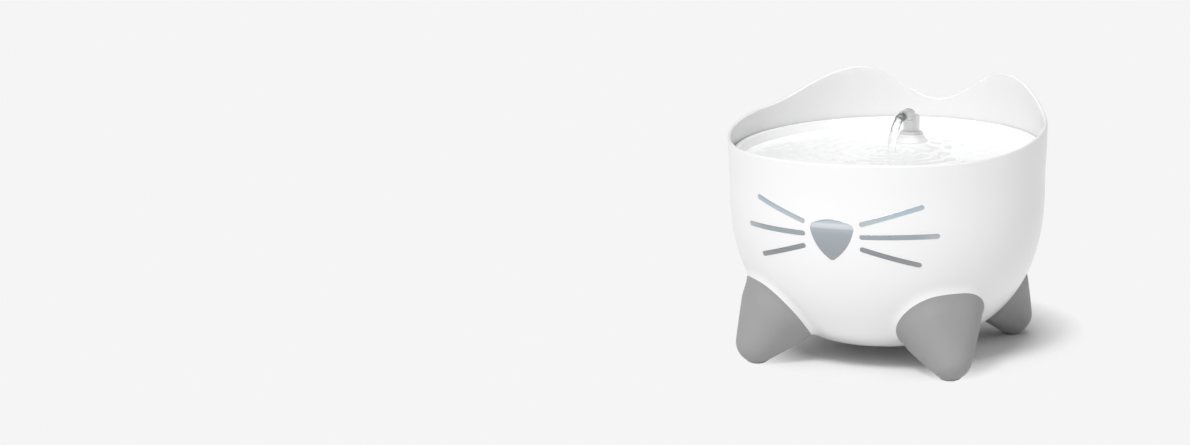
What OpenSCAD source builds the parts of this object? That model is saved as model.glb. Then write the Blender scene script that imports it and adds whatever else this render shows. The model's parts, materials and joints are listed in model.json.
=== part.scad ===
// Cat-shaped pet water fountain: a round reservoir on four ear-shaped legs, a lift-out drinking
// tray with a filter cassette and a swivelling faucet, and a submersible pump underneath.
// +Z is up, the front (the face) looks along -Y, and the origin is on the ground under the
// middle of the bowl. Millimetres and degrees throughout.

/* [Bowl] */
// Outer radius where the curved belly turns into the upright wall
bowl_r = 103; // [96:0.5:112]
// How much wider the rim is than that turn
rim_flare = 1.1; // [0:0.1:2]
// Height of the front rim above the ground
rim_front_h = 140; // [132:1:150]
// Height at which the belly turns into the upright wall
turn_h = 112; // [108:1:118]
// How far below the flat bottom the belly curve would close
belly_sag = 5.8; // [5:0.2:9]
// Fullness of the belly, where 2 is an ellipse
belly_power = 2.43; // [2.1:0.05:2.8]
// Ground clearance under the flat bottom
bottom_h = 10.8; // [8:0.2:14]
// Wall thickness of the bowl
bowl_wall = 2.2; // [1.8:0.1:3]
// Rise of the ear tips above the front rim
ear_rise = 34; // [20:1:44]
// Angle of each ear tip from the front
ear_angle = 150; // [144:1:156]
// Rise of the dip between the ears above the front rim
dip_rise = 12.5; // [8:0.5:16]
// Rise of the rim at its sides above the front rim
side_rise = 10; // [6:0.5:14]
// Rise of the rim where the ears start above the front rim
ear_root_rise = 14.2; // [11:0.2:18]

/* [Face] */
// Thickness of the metallised nose and whiskers
inlay_t = 0.8; // [0.6:0.1:1.2]
// How far they stand proud of the wall
inlay_proud = 0.2; // [0.1:0.05:0.4]
// Width of one whisker
whisker_w = 3.2; // [2:0.1:4]
// Distance of the whiskers' inner ends from the middle
whisker_start = 19.5; // [17:0.5:24]
// Height of the middle whiskers
whisker_h = 95; // [92:0.5:98]
// Height between whiskers at their inner ends
whisker_pitch = 8; // [6:0.5:10]
// Half-width of the nose
nose_half_w = 14.4; // [11:0.2:15.5]
// Height of the nose's tip
nose_tip_h = 79.2; // [77:0.5:84]
// Height of the nose from its tip to its top
nose_len = 26.2; // [21:0.2:29]

/* [Legs] */
// How far inside the bowl's radius each foot's tip stands
foot_inset = 10.3; // [8:0.1:13]
// Radius of a leg's rounded tip
foot_tip_r = 13.9; // [12:0.2:15]
// Radius of a leg's round upper part
leg_top_r = 22.9; // [20:0.2:24]
// Height of the middle of that upper part
leg_top_h = 36.9; // [34:0.5:40]
// Clearance between a leg and the bowl
leg_gap = 0.2; // [0.1:0.05:0.3]
// Radius of a rubber foot pad
pad_r = 4.6; // [3.5:0.1:4.8]
// Thickness of a rubber foot pad
pad_t = 3; // [2.5:0.1:4]
// How far the pad stands proud of its leg
pad_proud = 1; // [0.8:0.1:1.5]
// How far inside its foot's tip each leg screw sits
screw_inset = 10.7; // [10.2:0.1:12]
// Shank radius of a leg screw
screw_r = 1.5; // [1.2:0.1:1.8]

/* [Tray] */
// Tilt of the tray, front low
tray_tilt = 2.82; // [1:0.1:4]
// How far the tray's rim lies below the front rim in the middle of the bowl
tray_drop = 5.6; // [4:0.2:8]
// Clearance between the tray and the bowl
tray_gap = 0.35; // [0.25:0.05:0.6]
// Depth of the drinking dish below its rim
dish_depth = 6; // [5:0.25:8]
// Thickness of the tray
tray_t = 2; // [1.6:0.1:2.6]
// Distance of the faucet's axis behind the middle
faucet_y = 47.5; // [44:0.5:50]
// Outer radius of the hub that holds the faucet
hub_r = 8.4; // [8.2:0.1:9.5]
// Height of the hub's top above the middle of the tray's rim plane
hub_rise = 1.6; // [1:0.2:4]

/* [Filter] */
// Inner width of the filter well
well_w = 58; // [48:1:62]
// Inner depth of the filter well, front to back
well_d = 30; // [24:1:32]
// How far the well's front wall lies inside the bowl's radius
well_inset = 16; // [14:0.5:20]
// Depth of the well's floor below the middle of the tray's rim plane
well_depth = 26.4; // [25:0.2:30]
// Wall thickness of the well and the basket
well_wall = 1.5; // [1.2:0.1:2]
// Clearance around the basket
basket_gap = 0.35; // [0.25:0.05:0.5]
// Number of slots in the grille
grille_slots = 9; // [5:1:11]
// Number of slots in the basket's floor
basket_slots = 7; // [5:1:11]

/* [Faucet] */
// Outer radius of the faucet's upright body
tube_r = 5.6; // [5:0.1:6]
// Length of that body above the collar
body_len = 10.2; // [8:0.1:11]
// Outer radius of the bent neck
neck_r = 4.2; // [3.9:0.1:4.6]
// Radius of the faucet's water passage
tube_bore_r = 3.2; // [2.6:0.1:3.4]
// Radius of the bend's centre line
bend_r = 7; // [6:0.25:9]
// Height of the bend's centre line above the collar
bend_rise = 11.9; // [9.2:0.1:14]
// Length of the straight nozzle after the bend
nozzle_len = 9; // [4:0.5:14]
// Outer radius of the nozzle at its mouth
nozzle_r = 3.9; // [3.7:0.1:4.2]
// Outer radius of the clear collar
collar_r = 7.9; // [7.6:0.1:8.1]
// Thickness of the collar's flange
collar_t = 2; // [1.5:0.1:2.5]
// Running clearance of the faucet's stem in its collar
stem_gap = 0.08; // [0.04:0.01:0.1]

/* [Pump] */
// Width of the pump's housing
pump_w = 40; // [38:1:46]
// Length of the motor case along the shaft
motor_len = 36; // [34:1:38]
// Height of the motor case
pump_h = 38; // [37:1:42]
// Height of the pump above the bowl's floor
pump_lift = 7; // [6:0.5:10]
// Wall thickness of the pump's housing
pump_wall = 2; // [1.6:0.1:2.4]
// Outer radius of the impeller chamber
chamber_r = 17; // [16:0.5:18.5]
// Radius of the rotor magnet
magnet_r = 7.4; // [6.5:0.1:7.6]
// Radius of the ceramic shaft
shaft_r = 1.12; // [1:0.02:1.4]
// Running clearance of the impeller on its shaft
shaft_gap = 0.08; // [0.04:0.01:0.1]
// Number of impeller vanes
vanes = 6; // [4:1:8]
// Number of intake holes
intake_holes = 8; // [4:1:10]
// Outer radius of the riser tube
riser_r = 6.4; // [6.1:0.1:6.8]
// Bore radius of the cable grommet
cable_r = 2.1; // [1.5:0.1:2.4]
// How far the cable grommet lies below the middle of the tray's rim plane
cable_drop = 14.4; // [13.5:0.1:20]

/* [Hidden] */
$fn = 64;

white = [0.95, 0.95, 0.95];
leg_grey = [0.62, 0.62, 0.62];
silver = [0.68, 0.72, 0.76];
clear = [0.85, 0.9, 0.93, 0.6];
rubber = [0.3, 0.3, 0.32];
seal_white = [0.85, 0.85, 0.83];
pump_grey = [0.22, 0.23, 0.25];

eps = 0.01;
leg_angles = [-45, 45, -135, 135];

// ---- Bowl profile -------------------------------------------------------------------------

rim_r = bowl_r + rim_flare;
profile_steps = 26;
floor_h = bottom_h + bowl_wall;
belly_depth = turn_h - bottom_h + belly_sag;
tray_h = rim_front_h - tray_drop;

// Outer radius at height z of a wall set back by inset from the outer surface
function wall_r(z, inset) =
    z >= turn_h
        ? bowl_r - inset + rim_flare * min(1, (z - turn_h) / (rim_front_h - turn_h))
        : (bowl_r - inset) * pow(1 - pow((turn_h - z) / (belly_depth - inset), belly_power),
                                 1 / belly_power);

// Height at which the belly of that wall has radius r
function belly_h(r, inset) =
    turn_h - (belly_depth - inset) * pow(1 - pow(r / (bowl_r - inset), belly_power), 1 / belly_power);

// Heights from the bottom up to the turn, closer together where the belly is flatter
function belly_heights(low) =
    [for (i = [0:profile_steps]) turn_h - (turn_h - low) * cos(90 * i / profile_steps)];

// Solid of revolution inside the surface set back by inset, from height low up to height top
module bowl_body(inset, low, top) {
    heights = belly_heights(low);
    rotate_extrude($fn = 128)
        polygon(concat(
            [[0, low]],
            [for (z = heights) [wall_r(z, inset), z]],
            [[rim_r - inset, rim_front_h], [rim_r - inset, top], [0, top]]));
}

// ---- Rim line -----------------------------------------------------------------------------

flat_angle = 40;
side_angle = 98;
root_angle = 115;
side_slope = 0.25;
root_slope = 0.5;

// Stations of the rim line: angle from the front, rise above the front rim, slope per degree
rim_stations = [
    [0, 0, 0],
    [flat_angle, 0, 0],
    [side_angle, side_rise, side_slope],
    [root_angle, ear_root_rise, root_slope],
    [ear_angle, ear_rise, 0],
    [180, dip_rise, 0]
];

function hermite(t, a, b) =
    let (span = b[0] - a[0])
    a[1] * (2 * pow(t, 3) - 3 * pow(t, 2) + 1) + b[1] * (3 * pow(t, 2) - 2 * pow(t, 3))
    + span * (a[2] * (pow(t, 3) - 2 * pow(t, 2) + t) + b[2] * (pow(t, 3) - pow(t, 2)));

// Height of the rim at an angle of 0 to 180 degrees from the front
function rim_h(angle, i = 0) =
    i >= len(rim_stations) - 2 || angle <= rim_stations[i + 1][0]
        ? rim_front_h + hermite(
              (angle - rim_stations[i][0]) / (rim_stations[i + 1][0] - rim_stations[i][0]),
              rim_stations[i], rim_stations[i + 1])
        : rim_h(angle, i + 1);

// Everything above the rim line, as a ring that covers the wall
module above_rim(top) {
    steps = 120;
    inner = rim_r - 3 * bowl_wall;
    outer = rim_r + bowl_wall;
    corners = [for (i = [0:steps - 1])
        let (angle = 360 * i / steps, h = rim_h(angle <= 180 ? angle : 360 - angle))
        each [for (p = [[inner, h], [outer, h], [outer, top], [inner, top]])
            [p[0] * sin(angle), -p[0] * cos(angle), p[1]]]];
    quads = [for (i = [0:steps - 1], k = [0:3])
        let (a = 4 * i, b = 4 * ((i + 1) % steps), n = (k + 1) % 4)
        [a + k, a + n, b + n, b + k]];
    polyhedron(corners, [for (q = quads) each [[q[0], q[1], q[2]], [q[0], q[2], q[3]]]]);
}

// ---- Frame helpers ------------------------------------------------------------------------

// Moves children into the tilted frame of the tray's rim plane
module tray_frame() {
    translate([0, 0, tray_h]) rotate([tray_tilt, 0, 0]) children();
}

// Height of a plane of the tray, depth below its rim, at distance y behind the middle
function tray_plane_h(y, depth) = tray_h + y * tan(tray_tilt) - depth / cos(tray_tilt);

// Turns children so that +X of a leg points outward at an angle from the front
module at_leg(angle) {
    rotate([0, 0, angle - 90]) children();
}

module rounded_rect(w, d, r) {
    square([w - 2 * r, d], center = true);
    square([w, d - 2 * r], center = true);
    for (x = [-1, 1], y = [-1, 1])
        translate([x * (w / 2 - r), y * (d / 2 - r)]) circle(r, $fn = 32);
}

// Solid along +Y from y0 to y1 of a shape drawn in X and Z
module along_y(y0, y1) {
    translate([0, y1, 0]) rotate([90, 0, 0]) linear_extrude(y1 - y0) children();
}

// Round rod, or a tube if bore is given, along Y at a height above the ground
module rod_y(r, y0, y1, h, bore = 0, x = 0) {
    translate([x, y0, h]) rotate([-90, 0, 0])
        difference() {
            cylinder(r = r, h = y1 - y0);
            if (bore > 0) translate([0, 0, -1]) cylinder(r = bore, h = y1 - y0 + 2);
        }
}

module ring(outer, inner, h) {
    difference() {
        cylinder(r = outer, h = h);
        translate([0, 0, -1]) cylinder(r = inner, h = h + 2);
    }
}

// ---- Face ---------------------------------------------------------------------------------

// Ends of a whisker, level 1, 0 or -1 from the top: [[inner x, z], [outer x, z]]
whisker_reach = [51.6, 62, 53.8];
whisker_spread = [-18.2, -0.1, 18.5];
function whisker_ends(level) = [
    [whisker_start, whisker_h + level * whisker_pitch],
    [whisker_reach[level + 1], whisker_h + whisker_spread[level + 1]]];

module stroke(a, b, w) {
    run = b - a;
    translate(a) rotate(atan2(run[1], run[0])) {
        translate([0, -w / 2]) square([norm(run), w]);
        circle(w / 2, $fn = 32);
        translate([norm(run), 0]) circle(w / 2, $fn = 32);
    }
}

// side is -1 for the viewer's left and 1 for the right
module whisker_outline(side, level) {
    ends = whisker_ends(level);
    stroke([side * ends[0][0], ends[0][1]], [side * ends[1][0], ends[1][1]], whisker_w);
}

function arc_points(c, r, from, to, steps) =
    [for (i = [0:steps]) let (a = from + (to - from) * i / steps) c + r * [cos(a), sin(a)]];

// Points between two ends of an edge that bulges outward, without the ends themselves
function bulged(a, b, bulge, steps) =
    let (run = b - a, out = [run[1], -run[0]] / norm(run))
    [for (i = [1:steps - 1]) let (t = i / steps) a + run * t + out * bulge * 4 * t * (1 - t)];

// Rounded triangle with its tip down: three corner arcs joined by bulged edges
nose_corner_r = 3.6;
nose_tip_r = 2.6;
nose_top_bulge = 3;
nose_side_bulge = 2.2;
module nose_outline() {
    corner_x = nose_half_w - nose_corner_r;
    top_swing = atan(2 * nose_top_bulge / corner_x);
    corner_h = nose_tip_h + nose_len - nose_top_bulge - nose_corner_r * cos(top_swing);
    tip_h = nose_tip_h + nose_tip_r;
    side_a = atan2(corner_x, corner_h - tip_h);
    side_swing = atan(4 * nose_side_bulge / norm([corner_x, corner_h - tip_h]));
    right = arc_points([corner_x, corner_h], nose_corner_r, side_swing - side_a, 90 - top_swing, 8);
    left = [for (i = [8:-1:0]) [-right[i][0], right[i][1]]];
    tip = arc_points([0, tip_h], nose_tip_r, 180 + side_a + side_swing, 360 - side_a - side_swing, 8);
    polygon(concat(
        right, bulged(right[8], left[0], nose_top_bulge, 10),
        left, bulged(left[8], tip[0], nose_side_bulge, 10),
        tip, bulged(tip[8], right[0], nose_side_bulge, 10)));
}

// A thin skin of the outer surface, cut to an outline seen from the front
module inlay(thickness, proud) {
    intersection() {
        difference() {
            bowl_body(-proud, bottom_h, rim_front_h + 1);
            bowl_body(thickness - proud, bottom_h - 1, rim_front_h + 2);
        }
        along_y(-rim_r - 1, -rim_r / 2) children();
    }
}

module face_outlines() {
    nose_outline();
    for (side = [-1, 1], level = [-1:1]) whisker_outline(side, level);
}

// ---- Legs ---------------------------------------------------------------------------------

foot_reach = bowl_r - foot_inset;
leg_top_setback = 15.3;
leg_top_reach = foot_reach - leg_top_setback;
leg_top_half_w = 4;
heel_r = 7.8;
heel_setback = 21;
heel_reach = foot_reach - heel_setback;
heel_half_w = 12.7;
heel_h = 20.7;
post_r = 4;
post_gap = 0.3;
post_foot_h = 20;
screw_reach = foot_reach - screw_inset;
post_top_h = belly_h(screw_reach + post_r, 0);
screw_seat_h = 14;
screw_head_r = 3.5;
screw_head_t = 2.6;
screw_gap = 0.3;
screw_len = 18;
thread_gap = 0.05;
pilot_spare = 1;

// Ear-shaped body of one leg, before the bowl is taken out of it
module leg_form() {
    hull() {
        translate([foot_reach, 0, foot_tip_r]) sphere(foot_tip_r, $fn = 32);
        for (side = [-1, 1]) {
            translate([leg_top_reach, side * leg_top_half_w, leg_top_h])
                sphere(leg_top_r, $fn = 32);
            translate([heel_reach, side * heel_half_w, heel_h]) sphere(heel_r, $fn = 32);
        }
    }
}

module leg(angle) {
    color(leg_grey) difference() {
        at_leg(angle) leg_form();
        bowl_body(-leg_gap, bottom_h - leg_gap, rim_front_h);
        at_leg(angle) {
            translate([screw_reach, 0, -1]) {
                cylinder(r = screw_r + screw_gap, h = post_top_h);
                cylinder(r = screw_head_r + screw_gap, h = screw_seat_h + 1);
                translate([0, 0, post_foot_h + 1]) cylinder(r = post_r + post_gap, h = post_top_h);
            }
            translate([foot_reach, 0, -1]) cylinder(r = pad_r, h = pad_t + 1);
            translate([0, -bowl_r, -1]) cube([2 * bowl_r, 2 * bowl_r, pad_proud + 1]);
        }
    }
}

module foot_pad(angle) {
    color(rubber) at_leg(angle) translate([foot_reach, 0, 0]) cylinder(r = pad_r, h = pad_t);
}

module leg_screws() {
    color(silver) for (angle = leg_angles) at_leg(angle) translate([screw_reach, 0, 0]) {
        translate([0, 0, screw_seat_h - screw_head_t]) cylinder(r = screw_head_r, h = screw_head_t);
        translate([0, 0, screw_seat_h - eps]) cylinder(r = screw_r, h = screw_len);
    }
}

// ---- Bowl ---------------------------------------------------------------------------------

ledge_w = 2.8;
ledge_t = 2.5;
rim_plate_t = 2.5;
grommet_t = 1.3;
grommet_r = cable_r + grommet_t;
cable_h = tray_h - cable_drop;
pocket_over = 5;
top_h = rim_front_h + ear_rise + 5;

module leg_posts() {
    for (angle = leg_angles) at_leg(angle) translate([screw_reach, 0, post_foot_h])
        cylinder(r = post_r, h = post_top_h - post_foot_h);
}

module screw_pilots() {
    for (angle = leg_angles) at_leg(angle) translate([screw_reach, 0, post_foot_h - 1])
        cylinder(r = screw_r + thread_gap, h = screw_seat_h + screw_len + pilot_spare - post_foot_h + 1);
}

module bowl() {
    color(white) difference() {
        union() {
            difference() {
                union() {
                    bowl_body(0, bottom_h, top_h);
                    leg_posts();
                }
                bowl_body(bowl_wall, floor_h, top_h + 1);
                above_rim(top_h + 2);
            }
            tray_frame() translate([0, 0, -rim_plate_t - ledge_t])
                ring(tray_r + tray_gap + bowl_wall / 2, tray_r - ledge_w, ledge_t);
        }
        screw_pilots();
        rod_y(grommet_r, bowl_r / 2, rim_r + 5, cable_h);
        inlay(inlay_t - inlay_proud + pocket_over, pocket_over) face_outlines();
    }
}

module nose_inlay() {
    color(silver) inlay(inlay_t, inlay_proud) nose_outline();
}

module whisker(side, level) {
    color(silver) inlay(inlay_t, inlay_proud) whisker_outline(side, level);
}

grommet_flange_w = 1.6;
grommet_flange_r = grommet_r + grommet_flange_w;
grommet_lip = 0.5;
grommet_flange_t = 1.8;
grommet_end = 1;
module cable_grommet() {
    face_out = wall_r(cable_h + grommet_flange_r, 0);
    face_in = sqrt(pow(wall_r(cable_h - grommet_flange_r, bowl_wall), 2) - pow(grommet_flange_r, 2));
    flange_y = face_in - grommet_flange_t;
    color(rubber) difference() {
        union() {
            rod_y(grommet_r, flange_y - grommet_end, face_out + grommet_lip, cable_h);
            rod_y(grommet_flange_r, face_out, face_out + grommet_lip, cable_h);
            rod_y(grommet_flange_r, flange_y, face_in, cable_h);
        }
        rod_y(cable_r, flange_y - 2 * grommet_end, face_out + 2 * grommet_lip, cable_h);
    }
}

// ---- Drinking tray ------------------------------------------------------------------------

tray_r = wall_r(tray_plane_h(-bowl_r, rim_plate_t), bowl_wall) - tray_gap;
socket_gap = 0.25;
dish_wall = 1.6;
dish_slope_w = 3;
under_r = tray_r - ledge_w - socket_gap;
lip_r = under_r - dish_wall + dish_slope_w * rim_plate_t / dish_depth;
dish_r = lip_r - dish_slope_w;

stem_wall = 1.2;
stem_r = tube_bore_r + stem_wall;
spigot_wall = 1.5;
spigot_len = 13.6;
spigot_r = stem_r + stem_gap + spigot_wall;
hub_h = tray_h + hub_rise;
hub_bore_r = spigot_r + socket_gap;
hub_stop_h = hub_h - spigot_len;
hub_stop_t = 3;
hub_foot_len = 13;
hub_foot_h = hub_stop_h - hub_foot_len;
hub_foot_wall = 1.8;
seal_seat_w = 1.8;
seal_seat_r = riser_r + seal_seat_w;
seal_seat_top_h = hub_stop_h - hub_stop_t;
hub_foot_r = seal_seat_r + hub_foot_wall;
water_way_r = 4;
hub_flare = 2.6;
hub_flare_h = 3;
hub_toe_h = 0.6;
hub_draft = 0.5;

well_corner_r = 5;
well_ledge = 4;
well_floor_h = tray_h - well_depth;
well_y = bowl_r - well_inset - well_d / 2;

module well_outline(inset) {
    translate([0, -well_y])
        rounded_rect(well_w - 2 * inset, well_d - 2 * inset, well_corner_r - inset);
}

// Space above the tray's dish floor, used to trim what stands up to the floor
module above_dish(depth) {
    tray_frame() translate([0, 0, -depth]) cylinder(r = 2 * bowl_r, h = 4 * bowl_r);
}

module dish() {
    tray_frame() rotate_extrude($fn = 128) polygon([
        [0, -dish_depth - tray_t],
        [dish_r + dish_wall, -dish_depth - tray_t],
        [under_r, -rim_plate_t],
        [tray_r, -rim_plate_t],
        [tray_r, 0],
        [lip_r, 0],
        [dish_r, -dish_depth],
        [0, -dish_depth]]);
}

module hub() {
    dish_h = tray_plane_h(faucet_y, dish_depth);
    translate([0, faucet_y, 0]) {
        translate([0, 0, hub_foot_h])
            cylinder(r = hub_foot_r, h = dish_h - tray_t / 2 - hub_foot_h);
        rotate_extrude() polygon([
            [0, hub_stop_h],
            [hub_r + hub_flare, hub_stop_h],
            [hub_r + hub_flare, dish_h + hub_toe_h],
            [hub_r + hub_draft, dish_h + hub_flare_h],
            [hub_r, hub_h],
            [0, hub_h]]);
    }
}

module drinking_tray() {
    color(white) difference() {
        union() {
            dish();
            difference() {
                translate([0, 0, well_floor_h - well_wall]) linear_extrude(well_depth)
                    well_outline(-well_wall);
                above_dish(dish_depth);
            }
            hub();
        }
        translate([0, 0, well_floor_h]) linear_extrude(well_depth) well_outline(0);
        translate([0, 0, well_floor_h - well_wall - 1]) linear_extrude(well_depth)
            well_outline(well_ledge);
        translate([0, faucet_y, 0]) {
            translate([0, 0, hub_stop_h]) cylinder(r = hub_bore_r, h = hub_h);
            translate([0, 0, hub_foot_h - 1]) {
                cylinder(r = water_way_r, h = hub_h);
                cylinder(r = seal_seat_r, h = seal_seat_top_h - hub_foot_h + 1);
            }
        }
        tray_frame() translate([0, 0, -seal_low]) ring(tray_r + 1, tray_r - seal_t, seal_t);
    }
}

seal_t = 1;
seal_low = 2;
module tray_seal() {
    color(seal_white) tray_frame() translate([0, 0, -seal_low])
        ring(tray_r + tray_gap / 2, tray_r - seal_t, seal_t);
}

riser_seal_h = 4;
module riser_seal() {
    color(seal_white) translate([0, faucet_y, hub_foot_h + 1])
        ring(seal_seat_r, riser_r + socket_gap, riser_seal_h);
}

// ---- Filter cassette ----------------------------------------------------------------------

grille_t = 2;
grille_recess = 1.1;
grille_lip_h = 1;
grille_lip_t = 1.2;
grille_h = tray_plane_h(-well_y - well_d / 2, dish_depth) - grille_recess - grille_t;
basket_floor_h = well_floor_h + well_wall;
pad_layer_t = 4;
layer_gap = 0.2;
slot_w = 2.6;
slot_margin = 6;
slot_end = 5;
tab_w = 10;
tab_t = 1.5;
tab_h = 3;

// Outline of what fits inside the basket
module layer_outline(inset = 0) {
    well_outline(basket_gap + well_wall + layer_gap + inset);
}

module slots(count) {
    pitch = (well_w - 2 * slot_margin) / count;
    for (i = [0:count - 1]) translate([(i - (count - 1) / 2) * pitch, -well_y])
        square([slot_w, well_d - 2 * slot_end], center = true);
}

module filter_basket() {
    color(white) difference() {
        translate([0, 0, well_floor_h]) linear_extrude(grille_h - well_floor_h)
            well_outline(basket_gap);
        translate([0, 0, basket_floor_h]) linear_extrude(well_depth)
            well_outline(basket_gap + well_wall);
        translate([0, 0, well_floor_h - 1]) linear_extrude(well_depth) slots(basket_slots);
    }
}

module filter_pad() {
    color([0.35, 0.37, 0.4]) translate([0, 0, basket_floor_h])
        linear_extrude(pad_layer_t) layer_outline();
}

module filter_media() {
    foot_h = basket_floor_h + pad_layer_t;
    color([0.2, 0.2, 0.2]) translate([0, 0, foot_h])
        linear_extrude(grille_h - grille_lip_h - foot_h) layer_outline();
}

module filter_grille() {
    color(white) {
        difference() {
            translate([0, 0, grille_h]) linear_extrude(grille_t) well_outline(basket_gap);
            translate([0, 0, grille_h - 1]) linear_extrude(grille_t + 2) slots(grille_slots);
        }
        translate([0, 0, grille_h - grille_lip_h]) linear_extrude(grille_lip_h + eps)
            difference() {
                layer_outline();
                layer_outline(grille_lip_t);
            }
        translate([-tab_w / 2, -well_y + well_d / 2 - slot_end, grille_h + grille_t - eps])
            cube([tab_w, tab_t, tab_h]);
    }
}

// ---- Faucet -------------------------------------------------------------------------------

collar_end_gap = 0.5;
collar_foot_h = hub_stop_h + collar_end_gap;
swivel_gap = 0.1;
tube_foot_h = hub_h + collar_t + swivel_gap;
body_top_h = tube_foot_h + body_len;
bend_top_h = tube_foot_h + bend_rise;
ring_t = 1;
ring_drop = 4;
ring_inner_r = spigot_r - ring_t / 2;
ring_outer_r = spigot_r + 0.6 * socket_gap;

module faucet_collar() {
    color(clear) translate([0, faucet_y, 0]) difference() {
        union() {
            translate([0, 0, hub_h]) cylinder(r = collar_r, h = collar_t);
            translate([0, 0, collar_foot_h]) cylinder(r = spigot_r, h = hub_h - collar_foot_h + eps);
        }
        translate([0, 0, collar_foot_h - 1]) cylinder(r = stem_r + stem_gap, h = hub_h);
        translate([0, 0, hub_h - ring_drop]) ring(spigot_r + 1, ring_inner_r, ring_t);
    }
}

module collar_ring() {
    color(rubber) translate([0, faucet_y, hub_h - ring_drop])
        ring(ring_outer_r, ring_inner_r, ring_t);
}

// Quarter of a ring from upright to forward, about the middle of the bend
module quarter_bend(r) {
    far = 2 * bend_r;
    intersection() {
        rotate([90, 0, 90]) rotate_extrude() translate([bend_r, 0]) circle(r);
        translate([-far, 0, 0]) cube([2 * far, far, far]);
    }
}

// Neck along the faucet's centre line: upright, bent forward, then straight to an end of another radius
module neck_path(r, low, reach, end_r) {
    centre_h = bend_top_h - bend_r;
    translate([0, 0, low]) cylinder(r = r, h = centre_h - low);
    translate([0, -bend_r, centre_h]) {
        quarter_bend(r);
        translate([0, 0, bend_r]) rotate([90, 0, 0])
            cylinder(r1 = r, r2 = end_r, h = reach);
    }
}

module faucet_spout() {
    color(clear) translate([0, faucet_y, 0]) difference() {
        union() {
            translate([0, 0, tube_foot_h]) cylinder(r = tube_r, h = body_top_h - tube_foot_h);
            neck_path(neck_r, tube_foot_h, nozzle_len, nozzle_r);
            translate([0, 0, collar_foot_h]) cylinder(r = stem_r, h = tube_foot_h - collar_foot_h + 1);
        }
        neck_path(tube_bore_r, collar_foot_h - 1, nozzle_len + 1, tube_bore_r);
    }
}

// ---- Pump ---------------------------------------------------------------------------------

lid_fit = 0.15;
pump_foot_h = floor_h + pump_lift;
pump_mid_h = pump_foot_h + pump_h / 2;
shaft_rise = 24;
shaft_h = pump_foot_h + shaft_rise;
case_corner_r = 5;

chamber_len = 12;
chamber_back_t = 1;
outlet_setback = 6.5;
chamber_y1 = faucet_y + outlet_setback;
chamber_y0 = chamber_y1 - chamber_len;
motor_y0 = chamber_y0 - motor_len + pump_wall;

rotor_gap = 0.6;
can_r = magnet_r + rotor_gap;
can_wall = 1.2;
can_setback = 6;
can_y0 = motor_y0 + can_setback;

riser_wall = 1.25;
stub_wall = 1.2;
stub_r = riser_r - riser_wall - lid_fit;
stub_len = 9;
stub_top_h = shaft_h + chamber_r + stub_len;
riser_end_gap = 1;
riser_foot_h = shaft_h + chamber_r + riser_end_gap;
riser_top_h = seal_seat_top_h - riser_end_gap;

cup_x = 11;
cup_setback = 6;
cup_pitch = 18;
cup_spots = [for (side = [-1, 1], row = [0, 1])
    [side * cup_x, motor_y0 + cup_setback + row * cup_pitch]];
cup_stud_r = 2.2;
cup_stud_in = 1.2;

// Motor case outline seen from the front, set back by inset
module case_outline(inset) {
    translate([0, pump_mid_h])
        rounded_rect(pump_w - 2 * inset, pump_h - 2 * inset, case_corner_r - inset);
}

module pump_housing() {
    color(pump_grey) difference() {
        union() {
            difference() {
                along_y(motor_y0, chamber_y0) case_outline(0);
                along_y(motor_y0 - 1, chamber_y0 - pump_wall) case_outline(pump_wall);
            }
            rod_y(can_r + can_wall, can_y0, chamber_y0, shaft_h);
            rod_y(chamber_r, chamber_y0 - eps, chamber_y1, shaft_h);
            translate([0, faucet_y, shaft_h]) cylinder(r = stub_r, h = stub_top_h - shaft_h);
        }
        rod_y(can_r, can_y0 + can_wall, chamber_y1, shaft_h);
        rod_y(chamber_r - pump_wall, chamber_y0 + chamber_back_t, chamber_y1 + 1, shaft_h);
        translate([0, faucet_y, shaft_h]) cylinder(r = stub_r - stub_wall, h = stub_top_h);
        for (spot = cup_spots) translate([spot[0], spot[1], pump_foot_h - 1])
            cylinder(r = cup_stud_r, h = cup_stud_in + 1);
    }
}

gland_x = 10;
gland_drop = 8;
gland_h = pump_foot_h + pump_h - gland_drop;
gland_wall = 1;
gland_flange = 1.4;
gland_flange_t = 1.5;
gland_len = 4;
cover_lip_len = 1.5;
cover_lip_t = 1.5;
board_setback = 2;

module pump_end_cover() {
    color(pump_grey) difference() {
        union() {
            along_y(motor_y0 - pump_wall, motor_y0) case_outline(0);
            along_y(motor_y0 - eps, motor_y0 + cover_lip_len) case_outline(pump_wall + lid_fit);
        }
        along_y(motor_y0, motor_y0 + 2 * cover_lip_len) case_outline(pump_wall + cover_lip_t);
        rod_y(cable_r + gland_wall, motor_y0 - 2 * pump_wall, motor_y0 + 1, gland_h, x = gland_x);
    }
}

module pump_cable_gland() {
    face_y = motor_y0 - pump_wall;
    color(rubber) difference() {
        union() {
            rod_y(cable_r + gland_wall, face_y - gland_len, motor_y0 + board_setback, gland_h,
                  x = gland_x);
            rod_y(cable_r + gland_wall + gland_flange, face_y - gland_flange_t, face_y, gland_h,
                  x = gland_x);
        }
        rod_y(cable_r, face_y - gland_len - 1, motor_y0 + board_setback + 1, gland_h, x = gland_x);
    }
}

core_setback = 6;
core_end_gap = 3;
core_y0 = can_y0 + core_setback;
core_y1 = chamber_y0 - pump_wall - core_end_gap;
core_len = core_y1 - core_y0;
core_gap = 0.4;
limb_out = 6;
limb_w = 7.5;
core_half_w = can_r + can_wall + limb_out;
yoke_rise = 6;
yoke_h0 = pump_foot_h + yoke_rise;
yoke_t = 4.5;
module stator_core() {
    color([0.5, 0.5, 0.52]) difference() {
        along_y(core_y0, core_y1) {
            translate([-core_half_w, yoke_h0]) square([2 * core_half_w, yoke_t]);
            for (x = [-core_half_w, core_half_w - limb_w])
                translate([x, yoke_h0]) square([limb_w, shaft_h + can_r - yoke_h0]);
        }
        rod_y(can_r + can_wall + core_gap, core_y0 - 1, core_y1 + 1, shaft_h);
    }
}

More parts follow.
